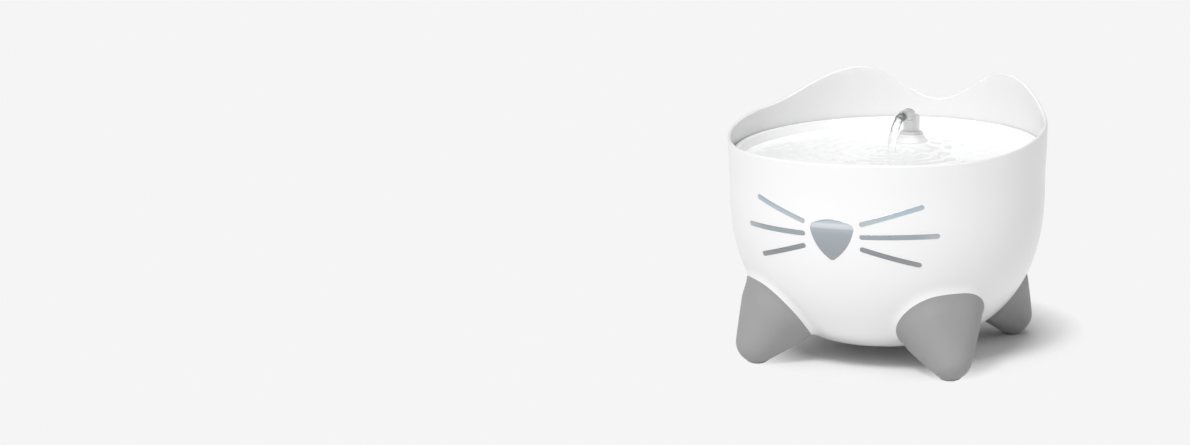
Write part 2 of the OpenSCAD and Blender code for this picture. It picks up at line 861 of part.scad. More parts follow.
coil_build = 2.8;
coil_gap = 0.2;
coil_corner_r = 2.4;
coil_half_w = core_half_w - limb_w - 2 * coil_gap;
module stator_coil() {
    color([0.75, 0.45, 0.25])
        translate([-coil_half_w, (core_y0 + core_y1) / 2, yoke_h0 + yoke_t / 2])
            rotate([90, 0, 90]) linear_extrude(2 * coil_half_w) difference() {
                rounded_rect(core_len + 2 * coil_build, yoke_t + 2 * coil_build, coil_corner_r);
                square([core_len + 2 * coil_gap, yoke_t + 2 * coil_gap], center = true);
            }
}

// Chips on the board: [x, height above the board's foot, width, height, thickness]
board_margin = 5;
board_foot = 4;
board_t = 1.6;
board_chips = [[-8, 2, 6, 5, 1.2], [3, 3, 4, 4, 1.4]];
module circuit_board() {
    y0 = motor_y0 + board_setback;
    foot_h = pump_foot_h + board_foot;
    board_w = pump_w - 2 * board_margin;
    color([0.1, 0.4, 0.25]) {
        translate([-board_w / 2, y0, foot_h]) cube([board_w, board_t, pump_h - 2 * board_foot]);
        for (chip = board_chips) translate([chip[0], y0 + board_t - eps, foot_h + chip[1]])
            cube([chip[2], chip[4] + eps, chip[3]]);
    }
}

cover_t = 2.4;
cover_skin = 0.4;
boss_r = 4;
boss_in = 0.6;
bush_len = 2;
bush_r = 2.5;
shaft_y0 = can_y0 + can_wall;
shaft_y1 = chamber_y1 + cover_t - cover_skin;
module impeller_shaft() {
    color([0.9, 0.9, 0.88]) rod_y(shaft_r, shaft_y0, shaft_y1, shaft_h);
}

module shaft_bush_rear() {
    color(rubber) rod_y(bush_r, shaft_y0, shaft_y0 + bush_len, shaft_h, shaft_r);
}

module shaft_bush_front() {
    color(rubber) rod_y(bush_r, shaft_y1 - bush_len, shaft_y1, shaft_h, shaft_r);
}

intake_r = 2.5;
intake_inset = 8;
intake_ring_r = chamber_r - intake_inset;
module intake_pattern(y0, y1) {
    for (i = [0:intake_holes - 1])
        rod_y(intake_r, y0, y1, shaft_h + intake_ring_r * cos(i * 360 / intake_holes),
              x = intake_ring_r * sin(i * 360 / intake_holes));
}

dial_t = 2;
dial_gap = 0.3;
dial_y0 = chamber_y1 + cover_t + dial_gap;
dial_inset = 3;
dial_r = chamber_r - dial_inset;
thumb_r = 2.4;
thumb_len = 2.5;
snap_t = 0.8;
snap_lip = 0.6;
spigot_fit = 0.2;
spigot_depth = 1.6;
spigot_t = 2.4;
groove_depth = 0.8;
groove_w = 1;
groove_setback = 0.4;
seal_squash = 0.1;
cover_spigot_r = chamber_r - pump_wall - spigot_fit;
groove_y1 = chamber_y1 - groove_setback;

module chamber_cover() {
    plate_y1 = chamber_y1 + cover_t;
    boss_y1 = dial_y0 + dial_t + dial_gap + snap_t;
    color(pump_grey) difference() {
        union() {
            rod_y(chamber_r, chamber_y1, plate_y1, shaft_h);
            rod_y(cover_spigot_r, chamber_y1 - spigot_depth, chamber_y1 + eps, shaft_h,
                  cover_spigot_r - spigot_t);
            rod_y(boss_r, chamber_y1 - boss_in, boss_y1, shaft_h);
            rod_y(boss_r + snap_lip, boss_y1 - snap_t, boss_y1, shaft_h);
        }
        rod_y(bush_r, chamber_y1 - 1, shaft_y1, shaft_h);
        intake_pattern(chamber_y1 - 1, plate_y1 + 1);
        rod_y(cover_spigot_r + 1, groove_y1 - groove_w, groove_y1, shaft_h,
              cover_spigot_r - groove_depth);
    }
}

module chamber_seal() {
    color(rubber) rod_y(cover_spigot_r + seal_squash, groove_y1 - groove_w, groove_y1, shaft_h,
                        cover_spigot_r - groove_depth);
}

module flow_dial() {
    face_y = dial_y0 + dial_t;
    color(leg_grey) difference() {
        union() {
            rod_y(dial_r, dial_y0, face_y, shaft_h);
            rod_y(thumb_r, dial_y0, face_y + thumb_len, shaft_h + dial_r - thumb_r);
        }
        rod_y(boss_r + shaft_gap, dial_y0 - 1, face_y + 1, shaft_h);
        intake_pattern(dial_y0 - 1, face_y + thumb_len + 1);
    }
}

sleeve_r = 2.6;
sleeve_end_gap = 0.3;
vane_gap = 0.4;
vane_r = cover_spigot_r - spigot_t - vane_gap;
vane_len = 6.4;
vane_t = 1.2;
disc_t = 1.2;
disc_gap = 0.4;
impeller_y0 = chamber_y0 + chamber_back_t + disc_gap;
impeller_y1 = impeller_y0 + disc_t + vane_len;
module impeller() {
    vane_in = sleeve_r - 0.5;
    color(leg_grey) difference() {
        union() {
            rod_y(sleeve_r, shaft_y0 + bush_len + sleeve_end_gap, impeller_y1, shaft_h);
            rod_y(vane_r, impeller_y0, impeller_y0 + disc_t, shaft_h);
            for (i = [0:vanes - 1]) translate([0, impeller_y0, shaft_h])
                rotate([0, i * 360 / vanes, 0]) translate([-vane_t / 2, disc_t / 2, vane_in])
                    cube([vane_t, impeller_y1 - impeller_y0 - disc_t / 2, vane_r - vane_in - 0.1]);
        }
        rod_y(shaft_r + shaft_gap, shaft_y0, chamber_y1, shaft_h);
    }
}

magnet_len = 22;
magnet_gap = 1.6;
module rotor_magnet() {
    y1 = impeller_y0 - magnet_gap;
    color([0.25, 0.25, 0.27]) rod_y(magnet_r, y1 - magnet_len, y1, shaft_h, sleeve_r);
}

// Half-section of one suction cup above the bowl's floor: [radius, height]
cup_section = [[0, 1], [4, 0.6], [6.6, 0], [7.2, 0], [6.4, 1.6], [3, 3.4], [cup_stud_r, 4.4]];
module suction_cups() {
    stud_h = pump_lift + cup_stud_in;
    color(rubber) for (spot = cup_spots) translate([spot[0], spot[1], floor_h])
        rotate_extrude() polygon(concat(cup_section, [[cup_stud_r, stud_h], [0, stud_h]]));
}

module riser_tube() {
    color(white) translate([0, faucet_y, riser_foot_h])
        ring(riser_r, riser_r - riser_wall, riser_top_h - riser_foot_h);
}

bowl();
nose_inlay();
whisker(-1, 1);  // whisker_left_upper
whisker(-1, 0);  // whisker_left_middle
whisker(-1, -1);  // whisker_left_lower
whisker(1, 1);  // whisker_right_upper
whisker(1, 0);  // whisker_right_middle
whisker(1, -1);  // whisker_right_lower
leg(leg_angles[0]);  // leg_front_left
leg(leg_angles[1]);  // leg_front_right
leg(leg_angles[2]);  // leg_rear_left
leg(leg_angles[3]);  // leg_rear_right
foot_pad(leg_angles[0]);  // foot_pad_front_left
foot_pad(leg_angles[1]);  // foot_pad_front_right
foot_pad(leg_angles[2]);  // foot_pad_rear_left
foot_pad(leg_angles[3]);  // foot_pad_rear_right
leg_screws();
cable_grommet();
pump_housing();
pump_end_cover();
pump_cable_gland();
stator_core();
stator_coil();
circuit_board();
impeller_shaft();
shaft_bush_rear();
shaft_bush_front();
chamber_cover();
chamber_seal();
suction_cups();
riser_tube();
impeller();
rotor_magnet();
flow_dial();
drinking_tray();
tray_seal();
riser_seal();
filter_basket();
filter_pad();
filter_media();
filter_grille();
faucet_collar();
collar_ring();
faucet_spout();
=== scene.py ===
import json
import math

import bmesh
import bpy
import numpy as np
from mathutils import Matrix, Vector
from mathutils.bvhtree import BVHTree


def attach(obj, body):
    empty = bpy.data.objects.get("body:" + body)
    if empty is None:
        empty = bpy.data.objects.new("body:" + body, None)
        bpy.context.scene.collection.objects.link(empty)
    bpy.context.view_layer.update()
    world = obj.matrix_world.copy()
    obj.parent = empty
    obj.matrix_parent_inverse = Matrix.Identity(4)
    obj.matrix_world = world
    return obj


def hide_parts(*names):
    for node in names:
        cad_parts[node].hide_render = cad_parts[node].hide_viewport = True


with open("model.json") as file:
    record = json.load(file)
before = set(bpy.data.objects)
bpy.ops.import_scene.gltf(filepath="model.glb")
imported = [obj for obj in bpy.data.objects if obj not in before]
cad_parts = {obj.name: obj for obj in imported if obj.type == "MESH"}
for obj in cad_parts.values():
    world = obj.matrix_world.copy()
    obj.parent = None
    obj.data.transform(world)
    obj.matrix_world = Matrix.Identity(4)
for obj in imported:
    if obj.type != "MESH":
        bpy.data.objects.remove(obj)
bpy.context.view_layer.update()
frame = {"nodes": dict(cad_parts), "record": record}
NODES = frame["nodes"]
MM = 0.001

# ---- Sizes in millimetres, the same as the frame's ----------------------------------------------

WALL_R, FLARE, WALL = 103.0, 1.1, 2.2           # the bowl's upright wall: radius, flare, thickness
TURN_H, RIM_H = 112.0, 140.0                    # heights where the belly ends and of the rim's front
BELLY_D, BELLY_N, BOTTOM_H = 107.0, 2.43, 10.8  # the belly: depth, roundness, height of its underside
FLAT_R, PULL_R, BELLY_START_R = 36, 44.5, 51    # the underside: flat part, its rounded edge, its end
FLOOR_H = BOTTOM_H + WALL
# the rim's rise over its front and its slope per degree, at angles from the front
RIM_STATIONS = [(0, 0, 0), (40, 0, 0), (98, 10, .25), (115, 14.2, .5), (150, 34, 0), (180, 12.5, 0)]
WALL_ROWS = 44                                  # rings of the mesh between the turn and the rim
HOLE_R, HOLE_H = 3.4, 120.0                     # hole at the back for the lead's grommet
TILT, TRAY_H = math.radians(2.82), 134.4        # the tray's rim plane: slope, height of its middle
TRAY_R, DISH_D, PLATE_T = 101.03, 6.0, 2.5      # the tray: radius, depth, thickness
LEDGE_OUT, LEDGE_IN, LEDGE_T = .35 + 1.1, 2.8, 2.5  # the ledge: past and under the tray, thickness
FAUCET_Y = 47.5
LEG_ANGLES = {"front_left": -45, "front_right": 45, "rear_left": -135, "rear_right": 135}


# ---- Mesh helpers -------------------------------------------------------------------------------

def link(name, verts, faces):
    """A smooth-shaded object from vertices in millimetres."""
    me = bpy.data.meshes.new(name)
    me.from_pydata([tuple(np.asarray(v, float) * MM) for v in verts], [], faces)
    me.update()
    me.validate()
    me.shade_smooth()
    o = bpy.data.objects.new(name, me)
    bpy.context.scene.collection.objects.link(o)
    return o


def soften(o, sharp):
    """Smooth shading with hard edges where the surface turns by more than an angle in degrees."""
    o.data.shade_smooth()
    o.data.set_sharp_from_angle(angle=math.radians(sharp))


def shell(name, verts, faces, sharp=None):
    """A closed surface as an object, its doubled vertices merged and its faces turned outward."""
    o = link(name, verts, faces)
    bm = bmesh.new()
    bm.from_mesh(o.data)
    bmesh.ops.remove_doubles(bm, verts=bm.verts, dist=1e-7)
    bmesh.ops.recalc_face_normals(bm, faces=bm.faces)
    bm.to_mesh(o.data)
    bm.free()
    if sharp:
        soften(o, sharp)
    return o


def piece(o, body, material, replaces=None):
    """Gives an object its material and its body, and hides the CAD node that it stands in for."""
    o.data.materials.clear()
    o.data.materials.append(LOOKS[material].m)
    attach(o, body)
    if replaces:
        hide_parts(replaces)


def grid_faces(rows, cols, first=0, flip=False):
    """Quads between neighbouring rings of vertices, from the vertex first on."""
    out = []
    for i in range(first, first + (rows - 1) * cols, cols):
        for j in range(cols):
            k = (j + 1) % cols
            a, b, c, d = i + j, i + k, i + cols + k, i + cols + j
            out.append((a, d, c, b) if flip else (a, b, c, d))
    return out


def fan_faces(tip, first, cols, flip=False):
    """Triangles from a tip to the ring of vertices that starts at first."""
    ring = [(first + j, first + (j + 1) % cols) for j in range(cols)]
    return [(tip, b, a) if flip else (tip, a, b) for a, b in ring]


def rounded(points, radii, steps=5):
    """A polyline in (r, z) with its corners rounded by the radii given, one per point."""
    out = []
    for i, (p, rad) in enumerate(zip(points, radii)):
        p = np.array(p, float)
        if rad <= 0 or i in (0, len(points) - 1):
            out.append(p)
            continue
        a = np.array(points[i - 1], float) - p
        b = np.array(points[i + 1], float) - p
        la, lb = np.linalg.norm(a), np.linalg.norm(b)
        a, b = a / la, b / lb
        half = math.acos(max(-1, min(1, float(a @ b)))) / 2
        if half > math.pi / 2 - 1e-3:
            out.append(p)
            continue
        cut = min(rad / math.tan(half), .48 * la, .48 * lb)
        p0, p1 = p + a * cut, p + b * cut
        for s in range(steps + 1):
            t = s / steps
            out.append(p0 * (1 - t) ** 2 + 2 * p * t * (1 - t) + p1 * t * t)
    return out


def lathe(profile, cols, centre=(0, 0), closed=False):
    """Turns a profile of (r, z) about an upright line. Points with r 0 close the ends."""
    verts, rings, faces = [], [], []
    for r, z in profile:
        wide = r > 1e-6
        rings.append((len(verts), wide))
        for j in range(cols if wide else 1):
            a = 2 * math.pi * j / cols
            verts.append((centre[0] + r * math.cos(a), centre[1] + r * math.sin(a), z))
    for (a, a_wide), (b, b_wide) in zip(rings, rings[1:] + (rings[:1] if closed else [])):
        if a_wide and b_wide:
            faces += [(a + j, a + (j + 1) % cols, b + (j + 1) % cols, b + j) for j in range(cols)]
        elif b_wide:
            faces += fan_faces(a, b, cols, True)
        elif a_wide:
            faces += fan_faces(b, a, cols)
    return verts, faces


def tube(path, radii, cols):
    """A round tube with closed ends along a path in the plane x = 0, with a radius for each point."""
    path = [np.array(p, float) for p in path]
    side = np.array([1.0, 0, 0])
    verts = []
    for i, (p, r) in enumerate(zip(path, radii)):
        t = path[min(i + 1, len(path) - 1)] - path[max(i - 1, 0)]
        t /= np.linalg.norm(t)
        up = np.cross(t, side)
        for j in range(cols):
            a = 2 * math.pi * j / cols
            verts.append(p + r * (math.cos(a) * side + math.sin(a) * up))
    end = (len(path) - 1) * cols
    ends = [tuple(range(cols))[::-1], tuple(range(end, end + cols))]
    return verts, grid_faces(len(path), cols) + ends


def spline(points, u):
    """A smooth curve through points, at the places u, which count the points from 0."""
    c = np.array(points)
    out = []
    for v in u:
        i = min(int(v), len(c) - 2)
        f = v - i
        p0, p1, p2, p3 = c[max(i - 1, 0)], c[i], c[i + 1], c[min(i + 2, len(c) - 1)]
        out.append(.5 * (2 * p1 + (p2 - p0) * f + (2 * p0 - 5 * p1 + 4 * p2 - p3) * f * f
                         + (3 * p1 - p0 - 3 * p2 + p3) * f ** 3))
    return np.array(out)


def smooth01(t):
    """Goes from 0 to 1 with soft ends as t does."""
    t = np.clip(t, 0, 1)
    return t * t * (3 - 2 * t)


def smin(a, b, k):
    """The smaller of two values, blended where they are within k of each other."""
    h = np.clip(k - np.abs(a - b), 0, None) / k
    return np.minimum(a, b) - h * h * k / 4


def crossing(f, lo, hi, count, steps):
    """The values at which f goes from negative to positive, one per item, by halving."""
    lo, hi = np.full(count, float(lo)), np.full(count, float(hi))
    for _ in range(steps):
        mid = (lo + hi) / 2
        inside = f(mid) < 0
        lo, hi = np.where(inside, mid, lo), np.where(inside, hi, mid)
    return (lo + hi) / 2


# ---- Materials: places are in metres, as the shaders count them ----------------------------------

def grey(value):
    """A neutral colour."""
    return (value, value, value)


def seen(*rgb):
    """Base colour that renders as the 8-bit colour given, under this light."""
    lit = .955
    return tuple(((c / 255 + .055) / 1.055) ** 2.4 / lit for c in rgb)


class Mat:
    """A material with one main shader, and short ways to write its nodes."""
    SOCKETS = {"rough": "Roughness", "metal": "Metallic", "ior": "IOR", "spec": "Specular IOR Level",
               "trans": "Transmission Weight", "coat": "Coat Weight", "coat_rough": "Coat Roughness",
               "sss": "Subsurface Weight", "sss_scale": "Subsurface Scale", "sheen": "Sheen Weight"}

    def __init__(self, name):
        self.m = bpy.data.materials.new(name)
        self.m.use_nodes = True
        self.nt = self.m.node_tree
        self.bsdf = self.nt.nodes["Principled BSDF"]
        self.out = self.nt.nodes["Material Output"]

    def set(self, **values):
        for name, value in values.items():
            self.bsdf.inputs[self.SOCKETS[name]].default_value = value

    def color(self, tone):
        """Sets the base colour and keeps its source, so that a later tone can be laid over it."""
        self.tone = tone
        self.join(tone, self.bsdf.inputs["Base Color"])

    def gloss(self, scale, detail, lo, hi, vec=None):
        """Roughness that wanders between two values."""
        noise = self.noise(scale, detail, vec)
        self.join(self.remap(noise, lo, hi, .3, .7), self.bsdf.inputs["Roughness"])

    def node(self, kind, vec=None, **values):
        """A node with inputs and properties set by name, that reads the vector given."""
        n = self.nt.nodes.new(kind)
        for name, value in values.items():
            if name in n.inputs:
                n.inputs[name].default_value = value
            else:
                setattr(n, name, value)
        if vec is not None:
            self.join(vec, n.inputs["Vector"])
        return n

    def join(self, a, b):
        self.nt.links.new(a, b)

    def coords(self, scale=(1, 1, 1)):
        t = self.node("ShaderNodeTexCoord")
        return self.node("ShaderNodeMapping", t.outputs["Object"], Scale=scale).outputs["Vector"]

    def axis(self, name):
        """One coordinate of the piece's own frame."""
        return self.node("ShaderNodeSeparateXYZ", self.coords()).outputs[name]

    def from_axis(self, scale=(1, 1, 0), shift=(0, 0, 0)):
        """Distance from the fountain's upright axis, or from another line or point."""
        a = self.node("ShaderNodeVectorMath", operation="SUBTRACT")
        k = self.node("ShaderNodeVectorMath", operation="MULTIPLY")
        d = self.node("ShaderNodeVectorMath", operation="LENGTH")
        a.inputs[1].default_value = shift
        k.inputs[1].default_value = scale
        self.join(self.coords(), a.inputs[0])
        self.join(a.outputs["Vector"], k.inputs[0])
        self.join(k.outputs["Vector"], d.inputs[0])
        return d.outputs["Value"]

    def noise(self, scale, detail=2, vec=None):
        vec = vec if vec is not None else self.coords()
        return self.node("ShaderNodeTexNoise", vec, Scale=scale, Detail=detail).outputs["Fac"]

    def bands(self, vec, scale, distortion):
        return self.node("ShaderNodeTexWave", vec, wave_type="BANDS", bands_direction="Y",
                         Scale=scale, Distortion=distortion).outputs["Fac"]

    def remap(self, fac, a, b, lo=0.0, hi=1.0):
        """Goes from a to b as fac goes from lo to hi."""
        r = self.node("ShaderNodeMapRange",
                      **{"From Min": lo, "From Max": hi, "To Min": a, "To Max": b})
        self.join(fac, r.inputs["Value"])
        return r.outputs["Result"]

    def ramp(self, fac, stops):
        r = self.node("ShaderNodeValToRGB")
        el = r.color_ramp.elements
        while len(el) < len(stops):
            el.new(.5)
        for e, (place, color) in zip(el, stops):
            e.position = place
            e.color = (*color, 1)
        self.join(fac, r.inputs["Fac"])
        return r.outputs["Color"]

    def feed(self, sock, v):
        """Sets a socket to a number or a colour, or joins it to another socket."""
        if isinstance(v, (int, float)):
            sock.default_value = v
        elif isinstance(v, tuple):
            sock.default_value = (*v, 1)
        else:
            self.join(v, sock)

    def mix(self, fac, a, b):
        n = self.node("ShaderNodeMix", data_type="RGBA")
        for sock, v in ((n.inputs["Factor"], fac), (n.inputs[6], a), (n.inputs[7], b)):
            self.feed(sock, v)
        return n.outputs[2]

    def math(self, operation, a, b):
        n = self.node("ShaderNodeMath", operation=operation)
        for sock, v in zip(n.inputs, (a, b)):
            self.feed(sock, v)
        return n.outputs["Value"]

    def bump(self, height, strength, distance):
        b = self.node("ShaderNodeBump", Strength=strength, Distance=distance)
        self.join(height, b.inputs["Height"])
        self.join(b.outputs["Normal"], self.bsdf.inputs["Normal"])

    def moulded(self, color, spread, scale, rough, rough_spread, bump, bump_scale, bump_mm):
        """Moulded plastic or rubber: faint tone and gloss changes and a fine surface grain."""
        v = self.coords()
        lo = tuple(max(0, c - spread) for c in color)
        hi = tuple(min(1, c + spread) for c in color)
        self.color(self.mix(self.noise(scale, 3, v), lo, hi))
        self.gloss(scale * 2.3, 4, rough - rough_spread, rough + rough_spread, v)
        self.bump(self.noise(bump_scale, 3, v), bump, bump_mm * MM)

    def blend(self, fac, shader):
        """Puts another shader in the main one's place as far as fac says."""
        mx = self.node("ShaderNodeMixShader")
        self.join(fac, mx.inputs["Fac"])
        self.join(self.bsdf.outputs["BSDF"], mx.inputs[1])
        self.join(shader, mx.inputs[2])
        self.join(mx.outputs["Shader"], self.out.inputs["Surface"])

    def shadow_pass(self, clear):
        """Lets lamp light through a clear material, as the real one does."""
        lp = self.node("ShaderNodeLightPath")
        tr = self.node("ShaderNodeBsdfTransparent", Color=(*grey(clear), 1))
        self.blend(lp.outputs["Is Shadow Ray"], tr.outputs["BSDF"])


LOOKS = {}

# base colour, its spread, its scale; roughness, its spread; grain: strength, scale, depth in mm
MOULDED = {
    "bowl_white": (grey(.925), .0015, 7, .288, .008, .03, 160, .02),
    "tray_white": (grey(.80), .0015, 8, .22, .008, .03, 180, .015),
    "leg_grey": (grey(.335), .012, 40, .52, .05, .35, 2600, .05),
    "dial_grey": (grey(.36), .012, 60, .5, .05, .3, 2600, .04),
    "dark_rubber": ((.05, .05, .054), .01, 90, .62, .06, .4, 2200, .06),
    "pad_rubber": (grey(.12), .015, 90, .66, .06, .4, 2200, .06),
    "white_silicone": ((.8, .8, .78), .01, 50, .45, .05, .2, 1500, .04),
    "pump_plastic": ((.045, .047, .05), .006, 60, .42, .06, .5, 1800, .08),
    "ceramic": ((.85, .84, .8), .01, 80, .2, .03, .05, 900, .01),
    "ferrite": ((.06, .06, .065), .012, 300, .55, .08, .5, 3000, .06),
}
SHEEN = {
    "bowl_white": dict(spec=.5, coat=.25, coat_rough=.12),
    "tray_white": dict(spec=.5),
    "leg_grey": dict(spec=.4, sheen=.06),
    "white_silicone": dict(sss=.1, sss_scale=.002),
}

# painted reflection of the metallised inlays: tones by height in mm, with a painted highlight band
# across the nose near 100 to 103, and the heights between which they change
FACE_LOW, FACE_TOP = 76, 116
NOSE_REFLECTION_TONES = [
    (79, (162, 165, 169)), (89, (165, 171, 177)), (96, (171, 179, 185)), (99, (184, 190, 198)),
    (100, (213, 217, 224)), (102, (226, 230, 236)), (103.4, (202, 208, 216)), (105.4, (192, 200, 208))]
WHISKER_REFLECTION_TONES = [
    (77, (152, 153, 155)), (83, (146, 149, 154)), (87, (152, 157, 162)), (95, (164, 173, 179)),
    (103, (196, 201, 204)), (108, (190, 203, 212)), (114, (182, 196, 206))]


def look(name):
    """Starts a material under a name."""
    LOOKS[name] = Mat(name)
    return LOOKS[name]


def moulded_looks():
    for name, values in MOULDED.items():
        look(name).moulded(*values)
        LOOKS[name].set(**SHEEN.get(name, {}))
    # painted shade: the inner face of the bowl's wall, above the turn, is darkened to a grey tone of its
    # own
    x = LOOKS["bowl_white"]
    inner_face_shade = x.remap(x.from_axis(), 1, 0, .1016, .1020)
    over_turn = x.remap(x.axis("Z"), 0, 1, .112, .122)
    x.color(x.mix(x.math("MULTIPLY", inner_face_shade, over_turn), x.tone, grey(.725)))
    # painted shade: the tray's dish keeps a darker tone of its own than its paler lip, which holds down
    # its light and the light it throws on the bowl's inner wall
    x = LOOKS["tray_white"]
    x.color(x.mix(x.remap(x.from_axis(), 0, 1, .0932, .0955), x.tone, grey(.955)))


def metal_looks():
    x = look("screw_steel")
    v = x.coords((1, 1, 30))
    x.color(x.mix(x.noise(300, 4, v), (.50, .50, .51), (.60, .60, .61)))
    x.gloss(500, 3, .25, .42, v)
    x.set(metal=1.0)

    # edges of the core's sheets
    x = look("core_steel")
    v = x.coords()
    w = x.bands(v, 320, .4)
    x.color(x.mix(w, (.28, .28, .29), (.42, .42, .43)))
    x.gloss(200, 3, .3, .5, v)
    x.set(metal=1.0)
    x.bump(w, .3, .1 * MM)

    # turns of the wire, with painted shade in the grooves between them
    x = look("copper_winding")
    v = x.coords()
    w = x.bands(v, 650, .6)
    x.color(x.mix(w, (.28, .10, .05), (.78, .40, .20)))
    x.gloss(300, 3, .22, .38, v)
    x.set(metal=.9)
    x.bump(w, .6, .15 * MM)


def inner_looks():
    x = look("board_green")
    v = x.coords()
    b = x.node("ShaderNodeTexBrick", v, **{"Scale": 240, "Mortar Size": .08})
    x.color(x.mix(b.outputs["Fac"], (.02, .12, .06), (.05, .22, .11)))
    x.gloss(150, 3, .25, .4, v)

    x = look("filter_foam")
    v = x.coords()
    cell = x.node("ShaderNodeTexVoronoi", v, feature="DISTANCE_TO_EDGE", Scale=900)
    # painted shade: the foam's cells darken towards their sunken middles
    x.color(x.ramp(cell.outputs["Distance"],
                   [(0, (.34, .36, .4)), (.12, (.2, .22, .25)), (.5, (.07, .08, .09))]))
    x.gloss(300, 3, .8, .95, v)
    x.bump(cell.outputs["Distance"], -.9, .5 * MM)

    x = look("filter_granules")
    v = x.coords()
    cell = x.node("ShaderNodeTexVoronoi", v, feature="F1", Scale=620)
    x.color(x.mix(cell.outputs["Color"], (.025, .025, .026), (.075, .075, .08)))
    x.gloss(900, 3, .45, .75, v)
    x.bump(cell.outputs["Distance"], -.9, .8 * MM)


def inlay_look():
    x = look("silver_inlay")
    # the nose's and whiskers' tones by height are a painted reflection, with a painted highlight band
    # across the nose
    height = x.remap(x.axis("Z"), 0, 1, FACE_LOW * MM, FACE_TOP * MM)
    nose, line = (x.ramp(height, [((z - FACE_LOW) / (FACE_TOP - FACE_LOW), seen(*c)) for z, c in tones])
                  for tones in (NOSE_REFLECTION_TONES, WHISKER_REFLECTION_TONES))
    # towards their outer ends the whiskers turn part way to a paler painted reflection
    aside = x.from_axis((1, 0, 0))
    line = x.mix(x.remap(aside, 0, .5, .050, .062), line, seen(205, 205, 206))
    x.color(x.mix(x.remap(aside, 0, 1, .0165, .0175), nose, line))
    x.gloss(60, 3, .27, .33, x.coords((1, 1, 14)))
    x.set(metal=.75)


def clear_looks():
    x = look("clear_plastic")
    up, out = x.axis("Z"), x.axis("Y")
    # the body is a little darker than the collar, the neck's end paler, and its outline over the body's
    # top white, a painted highlight where it faces away
    over_collar = x.remap(up, 0, 1, .1376, .1384)
    tone = x.mix(over_collar, grey(.94), (.84, .845, .85))
    nozzle = x.math("MULTIPLY", x.remap(out, 1, 0, .0345, .0380), x.remap(up, 0, 1, .1440, .1455))
    tone = x.mix(nozzle, tone, grey(.97))
    # painted highlight: glancing faces over the bend turn white
    face = x.node("ShaderNodeLayerWeight", Blend=.5).outputs["Facing"]
    outline = x.math("MULTIPLY", x.remap(face, 0, 1, .55, .80), x.remap(up, 0, 1, .1450, .1475))
    tone = x.mix(outline, tone, grey(1))
    # the neck's bore is grey, with a painted shadow as a dark spot beside its top, inside the mouth
    bore = x.math("MULTIPLY", x.remap(x.from_axis((1, 0, 1), (0, 0, .150)), 1, 0, .0033, .0036),
                  x.remap(out, 1, 0, .040, .043))
    tone = x.mix(bore, tone, (.78, .78, .79))
    painted_shadow_spot = x.remap(x.from_axis((1, 0, 1), (.0014, 0, .1524)), 1, 0, .0004, .0014)
    x.color(x.mix(x.math("MULTIPLY", painted_shadow_spot, bore), tone, (.12, .12, .13)))
    x.gloss(40, 2, .06, .10)
    x.set(trans=.5, ior=1.46)
    x.bump(x.noise(120, 2), .05, .05 * MM)
    x.shadow_pass(.8)

    x = look("water")
    x.bsdf.inputs["Base Color"].default_value = (.985, .99, .995, 1)
    x.gloss(80, 2, .0, .02)
    x.set(trans=1.0, ior=1.333)
    x.bump(x.noise(140, 2), .12, .2 * MM)
    x.shadow_pass(.97)

    # painted shade: the jet's sides are darkened by how they face, dark near the nozzle and pale lower
    # down
    x = look("jet")
    face = x.node("ShaderNodeLayerWeight", Blend=.5).outputs["Facing"]
    dark = x.ramp(face, [(0, grey(1)), (.42, grey(.97)), (.62, grey(.12)), (1, grey(.03))])
    pale = x.ramp(face, [(0, grey(1)), (.5, grey(.99)), (.75, grey(.6)), (1, grey(.4))])
    tone = x.mix(x.remap(x.axis("Z"), 0, 1, .1405, .1475), pale, dark)
    in_bore = x.remap(x.axis("Y"), 0, 1, .0295, .0315)
    x.color(x.mix(in_bore, tone, grey(.9)))
    x.gloss(80, 2, .0, .02)
    x.set(trans=1.0, ior=1.12)
    x.shadow_pass(.97)


# ---- Camera, light and floor --------------------------------------------------------------------

def camera():
    """The camera fitted to the photo: azimuth, elevation, lens, shift, aim and distance."""
    a, e = math.radians(19.786), math.radians(11.266)
    back = Vector((math.sin(a) * math.cos(e), -math.cos(a) * math.cos(e), math.sin(e)))
    data = bpy.data.cameras.new("camera")
    data.sensor_width = 36
    data.lens = 74.72
    data.shift_x, data.shift_y = -.2457, .0004
    data.clip_start, data.clip_end = .05, 60
    o = bpy.data.objects.new("camera", data)
    bpy.context.scene.collection.objects.link(o)
    o.location = Vector((0, 0, .0838)) + back * 1.62125
    o.rotation_mode = "QUATERNION"
    o.rotation_quaternion = (-back).to_track_quat("-Z", "Y")
    bpy.context.scene.camera = o


def sun(name, az, el, energy, angle):
    """A sun lamp at an azimuth from the front, growing towards +X, and a height, in degrees."""
    d = bpy.data.lights.new(name, "SUN")
    d.energy = energy
    d.angle = math.radians(angle)
    o = bpy.data.objects.new(name, d)
    bpy.context.scene.collection.objects.link(o)
    az, el = math.radians(az), math.radians(el)
    to = Vector((math.sin(az) * math.cos(el), -math.cos(az) * math.cos(el), math.sin(el)))
    o.rotation_mode = "QUATERNION"
    o.rotation_quaternion = to.to_track_quat("Z", "Y")
    o.location = to * 3


def light():
    """A pale world, a key sun, a wide one from above and two weak ones that fill the sides."""
    w = bpy.data.worlds.new("world")
    bpy.context.scene.world = w
    w.use_nodes = True
    bg = w.node_tree.nodes["Background"]
    bg.inputs["Color"].default_value = (1, 1, 1, 1)
    bg.inputs["Strength"].default_value = .3
    sun("key", -6, 51, 1.9, 16)
    sun("top", -20, 80, .68, 50)
    sun("side", -95, 30, .08, 90)
    sun("low", 35, 10, .25, 60)


